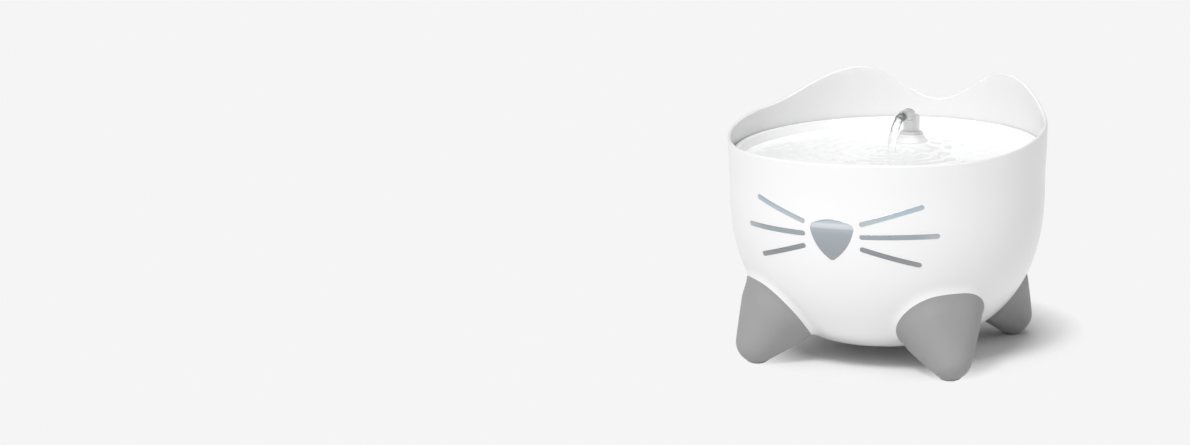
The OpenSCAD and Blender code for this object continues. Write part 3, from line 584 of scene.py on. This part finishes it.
def floor():
    """A pale floor that takes the fountain's shadow and turns into plain background beyond it."""
    rings, cols = (60, 120, 240, 500, 1000, 2500, 6000, 20000), 64
    turns = [2 * math.pi * j / cols for j in range(cols)]
    verts = [(0, 0, 0)] + [(r * math.cos(a), r * math.sin(a), 0) for r in rings for a in turns]
    o = link("floor", verts, fan_faces(0, 1, cols) + grid_faces(len(rings), cols, 1, True))
    x = Mat("floor")
    tone = x.mix(x.noise(6, 2), grey(.905), grey(.915))
    # painted shade: the floor is darker round the fountain, which holds down the light that the bowl
    # throws onto it
    near = x.remap(x.from_axis(), 1, 0, .12, .5)
    x.color(x.mix(near, tone, grey(.875)))
    x.set(rough=1.0, spec=0.0)
    # the shadow stays inside an oval, and the camera, mirrors and glass see the rest as background
    away = x.from_axis((1 / .092, 1 / .105, 0), (0, .042, 0))
    lp = x.node("ShaderNodeLightPath")
    ray = x.math("MAXIMUM", lp.outputs["Is Camera Ray"], lp.outputs["Is Glossy Ray"])
    ray = x.math("MAXIMUM", ray, lp.outputs["Is Transmission Ray"])
    background = (*grey(.9131), 1)
    em = x.node("ShaderNodeEmission", Strength=1.0, Color=background)
    x.blend(x.math("MULTIPLY", ray, x.remap(away, 0, 1, .85, 1.3)), em.outputs["Emission"])
    o.data.materials.append(x.m)


# ---- Bowl surface -------------------------------------------------------------------------------

def belly_r(z, inset=0.0):
    """Outer radius of the belly at a height, or the radius of its inner face for an inset."""
    u = np.clip((TURN_H - np.asarray(z, float)) / (BELLY_D - inset), 0, 1)
    return (WALL_R - inset) * (1 - u ** BELLY_N) ** (1 / BELLY_N)


def wall_r(z):
    """Outer radius of the bowl at a height: the belly, and over it the slightly flared wall."""
    z = np.asarray(z, float)
    flare = FLARE * smooth01((z - TURN_H) / (RIM_H + 4 - TURN_H))
    return np.where(z >= TURN_H, WALL_R + flare, belly_r(z))


def rim_h(angle):
    """Height of the rim at an angle from the front, on cubics through RIM_STATIONS."""
    a = abs((angle + 180) % 360 - 180)
    i = next(i for i, station in enumerate(RIM_STATIONS[1:]) if a <= station[0])
    (a0, h0, s0), (a1, h1, s1) = RIM_STATIONS[i:i + 2]
    t, d = (a - a0) / (a1 - a0), a1 - a0
    return (RIM_H + h0 * (2 * t ** 3 - 3 * t ** 2 + 1) + h1 * (3 * t ** 2 - 2 * t ** 3)
            + d * (s0 * (t ** 3 - 2 * t ** 2 + t) + s1 * (t ** 3 - t ** 2)))


def belly_profile():
    """Outer profile from the flat underside up to the turn, as a dense line of (r, z) and as the
    mesh's rows, which are closest together where the legs are."""
    near, far, legs_end = 1.3, 2.2, 66
    z = TURN_H - (TURN_H - BOTTOM_H) * np.cos(np.linspace(0, math.pi / 2, 1500))
    belly = np.column_stack([belly_r(z), z])
    belly = belly[belly[:, 0] > BELLY_START_R]
    p0, p1, p2 = np.array([FLAT_R, BOTTOM_H]), np.array([PULL_R, BOTTOM_H]), belly[0]
    t = np.linspace(0, 1, 60)[:-1, None]
    dense = np.vstack([p0 * (1 - t) ** 2 + 2 * p1 * t * (1 - t) + p2 * t * t, belly])
    s = np.concatenate([[0], np.cumsum(np.linalg.norm(np.diff(dense, axis=0), axis=1))])
    total, at = s[-1], [0.0]
    while at[-1] < total:
        h = np.interp(at[-1], s, dense[:, 1])
        at.append(at[-1] + (near if h < legs_end else far))
    at = np.array(at[:-1] if total - at[-2] > .8 else at[:-2])
    at = np.append(at, total)
    return dense, np.column_stack([np.interp(at, s, dense[:, 0]), np.interp(at, s, dense[:, 1])])


DENSE, ROWS = belly_profile()


def profile_normals(p):
    """Outward normals along a profile of (r, z) that goes upward."""
    t = np.gradient(p, axis=0)
    n = np.column_stack([t[:, 1], -t[:, 0]])
    return n / np.linalg.norm(n, axis=1)[:, None]


def bowl_distance(points):
    """Signed distance of points in space to the bowl's outer surface."""
    chunk = 4000
    q = np.column_stack([np.hypot(points[:, 0], points[:, 1]), points[:, 2]])
    line = np.vstack([[[0, BOTTOM_H]], DENSE[::3], [[WALL_R, TURN_H + 1]], [[WALL_R + .6, 170]]])
    a, b = line[:-1], line[1:]
    out = np.empty(len(q))
    for s in range(0, len(q), chunk):
        p = q[s:s + chunk, None, :]
        ab = (b - a)[None]
        t = np.clip(((p - a[None]) * ab).sum(2) / (ab ** 2).sum(2), 0, 1)
        d = p - (a[None] + t[..., None] * ab)
        dist = np.sqrt((d ** 2).sum(2))
        i = dist.argmin(1)
        j = np.arange(len(i))
        nrm = np.column_stack([ab[0, i, 1], -ab[0, i, 0]])
        out[s:s + chunk] = dist[j, i] * np.where((d[j, i] * nrm).sum(1) >= 0, 1, -1)
    return out


# ---- Leg surface: the skin round a few balls, in a frame whose +X points outward ------------------

BALLS = [((92.7, 0, 13.9), 13.9), ((77.4, 4, 36.9), 22.9), ((77.4, -4, 36.9), 22.9),
         ((71.7, 12.7, 20.7), 7.8), ((71.7, -12.7, 20.7), 7.8)]
LEG_AXIS = np.array([.8, 0, -.6])       # where the leg points, out and down
LEG_R, PATCH_H = 80.0, 35.0             # middle of the leg's print on the bowl
LEG_CENTRE = np.array([LEG_R, 0, 28.0])  # a point inside that sees the whole skin
BLEND = 9.0                             # width of the soft blend of bowl and leg
LEG_MARGIN, LEG_LEVEL = 2.5, .16        # how far the skin reaches out on the bowl and stands over it
LEG_FOOT, FOOT_FROM, FOOT_SOFT = .35, .8, 1.3   # the foot's flat underside and its soft edge
SKIN_REACH_H = 74                       # over this height the bowl keeps its own shape


def leg_skin():
    """The balls' smooth hull, as a tree to measure distances to. Its faces look outward."""
    rows, cols, soft = 150, 220, 1.1
    c = np.array([b[0] for b in BALLS], float)
    r = np.array([b[1] for b in BALLS], float)
    side = np.array([0, 1.0, 0])
    up = np.cross(LEG_AXIS, side)
    n = [LEG_AXIS]
    for t in np.linspace(0, math.pi, rows)[1:-1]:
        for p in np.linspace(0, 2 * math.pi, cols, endpoint=False):
            n.append(math.cos(t) * LEG_AXIS + math.sin(t) * (math.cos(p) * side + math.sin(p) * up))
    n.append(-LEG_AXIS)
    n = np.array(n)
    h = n @ c.T + r
    w = np.exp(soft * (h - h.max(1, keepdims=True)))
    w /= w.sum(1, keepdims=True)
    x = w @ c + (w @ r)[:, None] * n
    last = len(n) - 1
    faces = fan_faces(0, 1, cols) + grid_faces(rows - 2, cols, 1, True)
    faces += fan_faces(last, last - cols, cols, True)
    return BVHTree.FromPolygons([tuple(p) for p in x], faces)


SKIN = leg_skin()


def leg_distance(points):
    """Signed distance of points in the leg's frame to its skin."""
    out = np.empty(len(points))
    for i, p in enumerate(points):
        q, n, _, d = SKIN.find_nearest(Vector(p))
        out[i] = d if (Vector(p) - q).dot(n) >= 0 else -d
    return out


def lift(base, normal, level=0.0):
    """How far each point of the bowl moves out along its normal to reach the blended surface."""
    def gap(out):
        return smin(out, leg_distance(base + out[:, None] * normal), BLEND) - level

    return crossing(gap, 0, 14, len(base), 16)


def on_bowl(arc, z):
    """Point and normal on the belly at an arc length from the leg's middle and a height."""
    steps = np.arange(len(DENSE))
    i = np.interp(z, DENSE[:, 1], steps)
    r, nr, nz = (np.interp(i, steps, v) for v in (DENSE[:, 0], *profile_normals(DENSE).T))
    a = arc / LEG_R
    return (np.column_stack([r * np.cos(a), r * np.sin(a), z]),
            np.column_stack([nr * np.cos(a), nr * np.sin(a), nz]))


def leg_ring(cols):
    """Where the leg's skin meets the bowl, as arc and height, one point per direction."""
    psi = np.linspace(0, 2 * math.pi, cols, endpoint=False)

    def at(reach):
        return reach * np.cos(psi), np.maximum(PATCH_H + reach * np.sin(psi), DENSE[0, 1] + .05)

    def gap(reach):
        return leg_distance(on_bowl(*at(reach))[0]) - LEG_MARGIN

    return at(crossing(gap, 3, 45, cols, 18))


def leg_mesh():
    """The leg's skin from its tip to its edge, a soft turned-in edge, and a hidden back that
    follows the bowl."""
    cols, rings = 132, 46
    arc, z = leg_ring(cols)
    base, nrm = on_bowl(arc, z)
    edge = base + lift(base, nrm, LEG_LEVEL)[:, None] * nrm
    to_edge = edge - LEG_CENTRE
    d_edge = to_edge / np.linalg.norm(to_edge, axis=1)[:, None]
    ang = np.arccos(np.clip(d_edge @ LEG_AXIS, -1, 1))
    perp = d_edge - (d_edge @ LEG_AXIS)[:, None] * LEG_AXIS
    perp /= np.linalg.norm(perp, axis=1)[:, None]
    share = 1 - (1 - np.linspace(0, 1, rings + 1)[1:-1]) ** 1.25
    dirs = np.vstack([LEG_AXIS[None]] + [np.cos(ang * s)[:, None] * LEG_AXIS
                                         + np.sin(ang * s)[:, None] * perp for s in share])

    def gap(reach):
        p = LEG_CENTRE + reach[:, None] * dirs
        return smin(bowl_distance(p), leg_distance(p), BLEND) - LEG_LEVEL

    skin = LEG_CENTRE + crossing(gap, 4, 70, len(dirs), 18)[:, None] * dirs
    inward = skin[-cols:] - edge
    inward /= np.linalg.norm(inward, axis=1)[:, None]
    rows = [skin, edge, edge - .12 * nrm + .02 * inward, edge - .5 * nrm + .25 * inward]
    for s in (.97, .8, .6, .4, .2):
        b, n = on_bowl(arc * s, PATCH_H + (z - PATCH_H) * s)
        rows.append(b + .25 * n)
    b, n = on_bowl(np.array([0.0]), np.array([PATCH_H]))
    rows.append(b + .25 * n)
    verts = np.vstack(rows)
    h = verts[:, 2]
    verts[:, 2] = LEG_FOOT + np.clip(h - LEG_FOOT, 0, None) * smooth01((h - FOOT_FROM) / FOOT_SOFT)
    last = len(verts) - 1
    faces = fan_faces(0, 1, cols) + grid_faces((last - 1) // cols, cols, 1, True)
    return verts, faces + fan_faces(last, last - cols, cols, True)


def turned(verts, angle):
    """From the leg's frame to the fountain's: +X of the leg points at an angle from the front."""
    a = math.radians(angle - 90)
    c, s = math.cos(a), math.sin(a)
    x, y, z = verts.T
    return np.column_stack([x * c - y * s, x * s + y * c, z])


def legs():
    """The four legs, all from one mesh."""
    verts, faces = leg_mesh()
    for name, angle in LEG_ANGLES.items():
        o = shell("leg_skin_" + name, turned(verts, angle), faces, 55)
        piece(o, "base", "leg_grey", "leg_" + name)


# ---- Bowl and ledge -----------------------------------------------------------------------------

def belly_lift(step, half, normals):
    """How far the belly swells beside a leg, by steps from the leg's middle and by row."""
    table = np.zeros((half + 1, len(ROWS)))
    pts, nrm, idx = [], [], []
    for j in range(half + 1):
        a = math.radians(j * step)
        for i, ((r, z), n) in enumerate(zip(ROWS, normals)):
            if z <= SKIN_REACH_H:
                pts.append((r * math.cos(a), r * math.sin(a), z))
                nrm.append((n[0] * math.cos(a), n[0] * math.sin(a), n[1]))
                idx.append((j, i))
    pts, nrm = np.array(pts), np.array(nrm)
    d = leg_distance(pts)
    near = d < BLEND
    t = np.zeros(len(pts))
    t[near] = lift(pts[near], nrm[near])
    # under the leg's own skin the bowl draws back by .3
    s = smooth01((-1.5 - d) / 3.0)
    t = t * (1 - s) - .3 * s
    for at, v in zip(idx, t):
        table[at] = v
    return table


def grommet_hole(verts, cols, outer_row, inner_row, crown):
    """Draws the cells round the hole at the back onto a circle. Returns the numbers of the faces
    that go, and the faces that line the hole."""
    wide, tall, back = 3, 4, cols // 2
    heights = TURN_H + (crown - TURN_H) * np.arange(1, WALL_ROWS + 1) / WALL_ROWS
    middle = int(np.argmin(np.abs(heights - HOLE_H)))
    cut, loops = set(), []
    for mid, inset in ((outer_row + middle, 0), (inner_row + WALL_ROWS - 1 - middle, WALL)):
        low, high, left, right = mid - tall, mid + tall, back - wide, back + wide
        cut |= {i * cols + j for i in range(low, high) for j in range(left, right)}
        loop = [(low, j) for j in range(left, right)] + [(i, right) for i in range(low, high)]
        loop += [(high, j) for j in range(right, left, -1)] + [(i, left) for i in range(high, low, -1)]
        ids = [i * cols + j for i, j in loop]
        for v in ids:
            x, _, z = verts[v]
            a = math.atan2((z - HOLE_H) * (wide * 1.36) / (tall * .9), x)
            x, z = HOLE_R * math.cos(a), HOLE_H + HOLE_R * math.sin(a)
            r = float(wall_r(z)) - inset
            verts[v] = (x, math.sqrt(r * r - x * x), z)
        loops.append(sorted(ids, key=lambda v: math.atan2(verts[v][2] - HOLE_H, verts[v][0])))
    outer, inner = loops
    ring = zip(outer, outer[1:] + outer[:1], inner[1:] + inner[:1], inner)
    return cut, list(ring)


def bowl():
    """The bowl's skin, from its underside over the belly and the rim to its inner floor."""
    cols = 480
    step = 360 / cols
    angle = np.arange(cols) * step                      # 0 at the front, growing towards +X
    cx, cy = np.sin(np.radians(angle)), -np.cos(np.radians(angle))
    rings = []

    def ring(r, z):
        rings.append(np.column_stack([r * cx, r * cy, np.broadcast_to(z, (cols,))]))

    normals = profile_normals(np.vstack([ROWS, [[WALL_R, TURN_H + 2]]]))[:-1]
    table = belly_lift(step, cols // 8, normals)
    from_leg = np.rint(np.abs(angle % 90 - 45) / step).astype(int)
    for r in (8, 20, 30):
        ring(r, BOTTOM_H)
    for i, ((r, z), n) in enumerate(zip(ROWS, normals)):
        out = table[from_leg, i]
        ring(r + out * n[0], z + out * n[1])
    half_w = WALL / 2
    crown = np.array([rim_h(a) for a in angle]) - half_w    # where the rim's rounding starts
    wall_z = [TURN_H + (crown - TURN_H) * i / WALL_ROWS for i in range(1, WALL_ROWS + 1)]
    outer_row = len(rings)
    for z in wall_z:
        ring(wall_r(z), z)
    mid_r = wall_r(crown) - half_w
    for k in range(1, 8):
        a = math.pi * k / 8
        ring(mid_r + half_w * math.cos(a), crown + half_w * math.sin(a))
    inner_row = len(rings)
    for z in wall_z[::-1]:
        ring(wall_r(z) - WALL, z)
    for z in (TURN_H - (TURN_H - FLOOR_H) * np.sin(np.linspace(0, math.pi / 2, 46)))[:-1]:
        ring(float(belly_r(z, WALL)), z)
    ring(float(belly_r(FLOOR_H, WALL)) - .6, FLOOR_H)
    for r in (28, 16, 6):
        ring(r, FLOOR_H)
    verts = np.vstack(rings)
    cut, lining = grommet_hole(verts, cols, outer_row, inner_row, crown[cols // 2])
    faces = [f for n, f in enumerate(grid_faces(len(rings), cols)) if n not in cut] + lining
    tip = len(verts)
    verts = np.vstack([verts, [[0, 0, BOTTOM_H], [0, 0, FLOOR_H]]])
    caps = zip(fan_faces(tip, 0, cols, True), fan_faces(tip + 1, tip - cols, cols))
    faces += [f for pair in caps for f in pair]
    piece(shell("bowl_shell", verts, faces, 60), "base", "bowl_white", "bowl")


def tilted(verts):
    """From the tray's frame, whose XY plane is the tray's rim, to the fountain's."""
    v = np.asarray(verts, float)
    c, s = math.cos(TILT), math.sin(TILT)
    return np.column_stack([v[:, 0], v[:, 1] * c - v[:, 2] * s, TRAY_H + v[:, 1] * s + v[:, 2] * c])


def ledge():
    """The thin step inside the bowl's wall that carries the tray."""
    far, near, top, low = TRAY_R + LEDGE_OUT, TRAY_R - LEDGE_IN, -PLATE_T, -PLATE_T - LEDGE_T
    prof = rounded([(far, top), (near, top), (near, low), (far, low)], [0, .3, .3, 0], 3)
    verts, faces = lathe(prof, 160, closed=True)
    piece(shell("tray_ledge", tilted(verts), faces, 40), "base", "bowl_white")


# ---- Face inlays --------------------------------------------------------------------------------

# insets from the outline and heights over the bowl
FOIL = [(0, -.5), (0, .0), (.06, .12), (.2, .2), (.8, .2)]
NOSE_MIDDLE = np.array([0.0, 95.5])
WHISKER_W, CAP = 1.6, 8                 # a whisker's half width, and the steps round its ends
# level over the middle one, then the outer end's distance from the middle plane and its height
WHISKERS = {"lower": (-1, 51.6, 76.8), "middle": (0, 62.0, 94.9), "upper": (1, 53.8, 113.5)}


def arc_points(c, r, a0, a1, steps):
    """Points on a circle about c, from one angle to another in degrees."""
    turns = [math.radians(a0 + (a1 - a0) * i / steps) for i in range(steps + 1)]
    return [(c[0] + r * math.cos(a), c[1] + r * math.sin(a)) for a in turns]


def bulged(a, b, bulge, steps):
    """Points between a and b on a curve that swells by bulge."""
    a, b = np.array(a), np.array(b)
    run = b - a
    out = np.array([run[1], -run[0]]) / np.linalg.norm(run)
    places = [i / steps for i in range(1, steps)]
    return [tuple(a + run * t + out * bulge * 4 * t * (1 - t)) for t in places]


def nose_outline():
    """A triangle with its tip down, all its corners rounded and all its sides bulged."""
    half_w, corner_r, tip_h, length, tip_r, top_bulge, side_bulge = 14.4, 3.6, 79.2, 26.2, 2.6, 3.0, 2.2
    cx = half_w - corner_r
    top_swing = math.degrees(math.atan(2 * top_bulge / cx))
    ch = tip_h + length - top_bulge - corner_r * math.cos(math.radians(top_swing))
    th = tip_h + tip_r
    side_a = math.degrees(math.atan2(cx, ch - th))
    side_swing = math.degrees(math.atan(4 * side_bulge / math.hypot(cx, ch - th)))
    right = arc_points((cx, ch), corner_r, side_swing - side_a, 90 - top_swing, 10)
    left = [(-x, z) for x, z in right[::-1]]
    tip = arc_points((0, th), tip_r, 180 + side_a + side_swing, 360 - side_a - side_swing, 10)
    return (right + bulged(right[-1], left[0], top_bulge, 16) + left
            + bulged(left[-1], tip[0], side_bulge, 16) + tip + bulged(tip[-1], right[0], side_bulge, 16))


def stadium(a, b, w, steps):
    """Outline of a bar of half width w from a to b, with round ends."""
    run = (b - a) / np.linalg.norm(b - a)
    out = np.array([run[1], -run[0]])
    line = [a + (b - a) * i / steps for i in range(steps + 1)]
    turns = [math.pi * k / CAP for k in range(1, CAP)]
    return ([p + out * w for p in line]
            + [b + w * (math.cos(t) * out + math.sin(t) * run) for t in turns]
            + [p - out * w for p in line[::-1]]
            + [a + w * (-math.cos(t) * out - math.sin(t) * run) for t in turns])


def inlay(name, rings, replaced, strips=None):
    """rings: lists of (x, z, height over the bowl's surface), from the outside in, same count each.
    strips: for a long inlay, the steps along it, so that its flat faces follow the bowl."""
    verts = []
    n = len(rings[0])
    for ring in rings:
        for x, z, h in ring:
            r = float(wall_r(z))
            y = -math.sqrt(r * r - x * x)
            slope = (float(wall_r(z + .1)) - float(wall_r(z - .1))) / .2
            nv = np.array([x / r, y / r, -slope])
            nv /= np.linalg.norm(nv)
            verts.append(np.array([x, y, z]) + h * nv)
    faces = grid_faces(len(rings), n)
    for first in (0, (len(rings) - 1) * n):
        if strips is None:
            faces.append(tuple(range(first, first + n)))
            continue
        back = first + 2 * strips + CAP
        faces += [(first + i, first + i + 1, back - 1 - i, back - i) for i in range(strips)]
        faces.append(tuple(range(first + strips, first + strips + CAP + 1)))
        faces.append((*range(back, first + n), first))
    piece(shell(name, verts, faces, 70), "base", "silver_inlay", replaced)


def inlays():
    """The nose and the six whiskers."""
    outline = np.array(nose_outline())
    d = np.roll(outline, -1, 0) - np.roll(outline, 1, 0)
    nv = np.column_stack([d[:, 1], -d[:, 0]])
    nv /= np.linalg.norm(nv, axis=1)[:, None]
    rings = [[(x, z, h) for x, z in outline - nv * inset] for inset, h in FOIL]
    inset, h = FOIL[-1]
    for s in (.8, .6, .4, .2, .05):
        rings.append([(x, z, h) for x, z in NOSE_MIDDLE + (outline - nv * inset - NOSE_MIDDLE) * s])
    inlay("nose_foil", rings, "nose_inlay")
    steps = 26
    for sname, side in (("left", -1), ("right", 1)):
        for label, (level, end_x, end_z) in WHISKERS.items():
            a = np.array([19.5 * side, 95 + 8 * level], float)
            b = np.array([end_x * side, end_z])
            rings = [[(*p, h) for p in stadium(a, b, WHISKER_W - inset, steps)]
                     for inset, h in [*FOIL, (1.4, .2)]]
            inlay(f"whisker_foil_{sname}_{label}", rings, f"whisker_{sname}_{label}", steps)


# ---- Water on the tray and in the jet -------------------------------------------------------------

POOL_H, SHEET_T, POOL_BLEND = 129.35, .55, 1.2  # the pool's height, the thin sheet, how they blend
FILM_R, HUB_R = 95.6, 11.2                      # the film's outer edge, and its edge round the hub
LANDING_Y = 8                                   # where the jet meets the pool
# the jet from the nozzle's bore down to the pool: y, z and radius
JET = [(37.0, 149.3, 2.4), (31.5, 149.7, 2.5), (27.5, 150.0, 2.7), (24.8, 149.8, 2.8),
       (22.4, 149.0, 2.8), (19.5, 147.2, 2.7), (16.4, 145.0, 2.65), (13.8, 142.4, 2.7),
       (11.5, 139.4, 2.75), (9.7, 135.4, 2.7), (8.4, 131.2, 2.6), (8.0, 128.2, 2.6)]


def dish_floor(y):
    """Height of the tray's dish, which rises towards the back."""
    return TRAY_H + y * math.tan(TILT) - DISH_D / math.cos(TILT)


def film():
    """The water on the tray: a thin sheet on its slope, a pool in front, and ripples."""
    cols, rows = 320, 130
    a, t = np.meshgrid(np.linspace(0, 2 * math.pi, cols, endpoint=False), np.linspace(0, 1, rows + 1))
    b = FAUCET_Y * np.sin(a)
    far = -b + np.sqrt(b * b - FAUCET_Y ** 2 + FILM_R ** 2)
    r = HUB_R + (far - HUB_R) * t
    x, y = r * np.cos(a), FAUCET_Y + r * np.sin(a)
    f = dish_floor(y)
    top = -smin(-(f + SHEET_T), -POOL_H, POOL_BLEND)
    d = np.hypot(x, y - LANDING_Y)
    # uneven rings round the landing, a weak chop across them, and a small mound under the jet
    ring = np.sin(.62 * d + .7 * np.sin(.09 * x + .5) + .8 * np.sin(.11 * y))
    ring = ring * np.exp(-d / 34) * np.clip(d / 5, 0, 1)
    cross = np.sin(.34 * x - .23 * y + 1.1 * np.sin(.05 * y))
    cross = cross + .8 * np.sin(.19 * x + .41 * y + np.sin(.08 * x))
    fade = np.clip((r - HUB_R) / 3, 0, 1) * np.clip((far - r) / 5, 0, 1)
    mound = .8 * np.exp(-(d / 4.2) ** 2)
    top = top + fade * (.6 * ring + .15 * cross * np.exp(-d / 70)) + mound
    top = np.maximum(top, f + .2)
    verts = np.vstack([np.column_stack([x.ravel(), y.ravel(), z.ravel()]) for z in (top, f - .1)])
    n = (rows + 1) * cols
    faces = grid_faces(rows + 1, cols)
    faces += [tuple(n + v for v in q[::-1]) for q in faces]
    for i in (0, rows):
        for j in range(cols):
            v, w = i * cols + j, i * cols + (j + 1) % cols
            faces.append((v, w, n + w, n + v) if i else (n + v, n + w, w, v))
    piece(shell("tray_water", verts, faces), "tray", "water")


def jet():
    """The jet, a little uneven along its way."""
    u = np.linspace(0, len(JET) - 1, 64)
    y, z, r = spline(JET, u).T
    r = r * (1 + .04 * np.sin(u * 2.4) + .02 * np.sin(u * 5.1 + 1))
    piece(shell("water_jet", *tube([(0, *p) for p in zip(y, z)], r, 36)), "faucet", "jet")


# ---- Faucet -------------------------------------------------------------------------------------

def boolean(a, b, op):
    """Joins b to a, or cuts it from a, and removes it."""
    m = a.modifiers.new("b", "BOOLEAN")
    m.operation = op
    m.object = b
    m.solver = "EXACT"
    dg = bpy.context.evaluated_depsgraph_get()
    me = bpy.data.meshes.new_from_object(a.evaluated_get(dg))
    a.modifiers.clear()
    a.data = me
    bpy.data.objects.remove(b)


def neck_path(low, mouth):
    """The faucet's centre line, from a height up its body and forward to the mouth."""
    bend_z, bend_r, ends = 150.0, 7.0, 7
    pts = [(0, FAUCET_Y, z) for z in np.linspace(low, bend_z - bend_r, 6)]
    for k in range(1, 17):
        a = math.pi / 2 * k / 16
        pts.append((0, FAUCET_Y - bend_r + bend_r * math.cos(a), bend_z - bend_r + bend_r * math.sin(a)))
    return pts + [(0, y, bend_z) for y in np.linspace(FAUCET_Y - bend_r - 1, mouth, ends)], ends


def faucet():
    """The clear faucet, an upright body with a bent and bored neck, and the collar under it."""
    low, foot, body_top, mouth = 122.9, 138.1, 148.3, 31.5
    neck, stem, body, bore, lip = 4.2, 4.4, 5.6, 3.2, 3.9       # radii
    centre = (0, FAUCET_Y)

    path, ends = neck_path(foot + 2, mouth)
    radii = [neck] * (len(path) - ends) + list(np.linspace(neck, lip + .03, ends)) + [lip - .12]
    path.append((0, mouth - .001, path[-1][2]))
    outer = shell("faucet_tube", *tube(path, radii, 48))
    prof = rounded([(0, low), (stem - .3, low), (stem, low + .3), (stem, foot), (body, foot),
                    (body, body_top), (4.3, body_top + .7), (0, body_top + .7)],
                   [0, 0, 0, 0, .3, 1.4, .5, 0])
    boolean(outer, shell("faucet_body_tmp", *lathe(prof, 64, centre)), "UNION")
    path, _ = neck_path(low - 1, mouth - 1)
    boolean(outer, shell("faucet_bore_tmp", *tube(path, [bore] * len(path), 40)), "DIFFERENCE")
    soften(outer, 42)
    piece(outer, "faucet", "clear_plastic", "faucet_spout")

    # the collar's sleeve and its flange, as radius and height
    prof = rounded([(4.48, 122.9), (5.98, 122.9), (5.98, 136.02), (7.9, 136.02), (7.9, 136.9),
                    (6.9, 138.0), (4.48, 138.0)], [0, .2, 0, .25, .3, .4, .15], 4)
    o = shell("faucet_flange", *lathe(prof, 72, centre, closed=True), 42)
    piece(o, "faucet_collar", "clear_plastic", "faucet_collar")


# ---- CAD nodes that are shown -------------------------------------------------------------------

# widths in mm of the bevels along their edges
BEVELS = {"drinking_tray": .5, "filter_basket": .35, "filter_grille": .3, "filter_pad": .6,
          "filter_media": .5, "pump_housing": .6, "pump_end_cover": .4, "pump_cable_gland": .25,
          "flow_dial": .4, "chamber_cover": .4, "suction_cups": .3, "cable_grommet": .25,
          "riser_tube": .3, "leg_screws": .2, "impeller": .25}


def dress_cad():
    """Gives the CAD nodes that are shown their materials and small rounded edges."""
    slots = {s["node"]: s["material_slot"] for s in frame["record"]["subparts"]}
    for name, o in NODES.items():
        if o.hide_render:
            continue
        o.data.materials.clear()
        o.data.materials.append(LOOKS[slots[name]].m)
        soften(o, 28)
        if name in BEVELS:
            m = o.modifiers.new("edge", "BEVEL")
            m.width = BEVELS[name] * MM
            m.segments = 2
            m.limit_method = "ANGLE"
            m.angle_limit = math.radians(40)
            m.use_clamp_overlap = True


for build in (moulded_looks, metal_looks, inner_looks, inlay_look, clear_looks, camera, light, floor,
              bowl, ledge, legs, inlays, faucet, film, jet, dress_cad):
    build()
vs = bpy.context.scene.view_settings
vs.view_transform = "Standard"
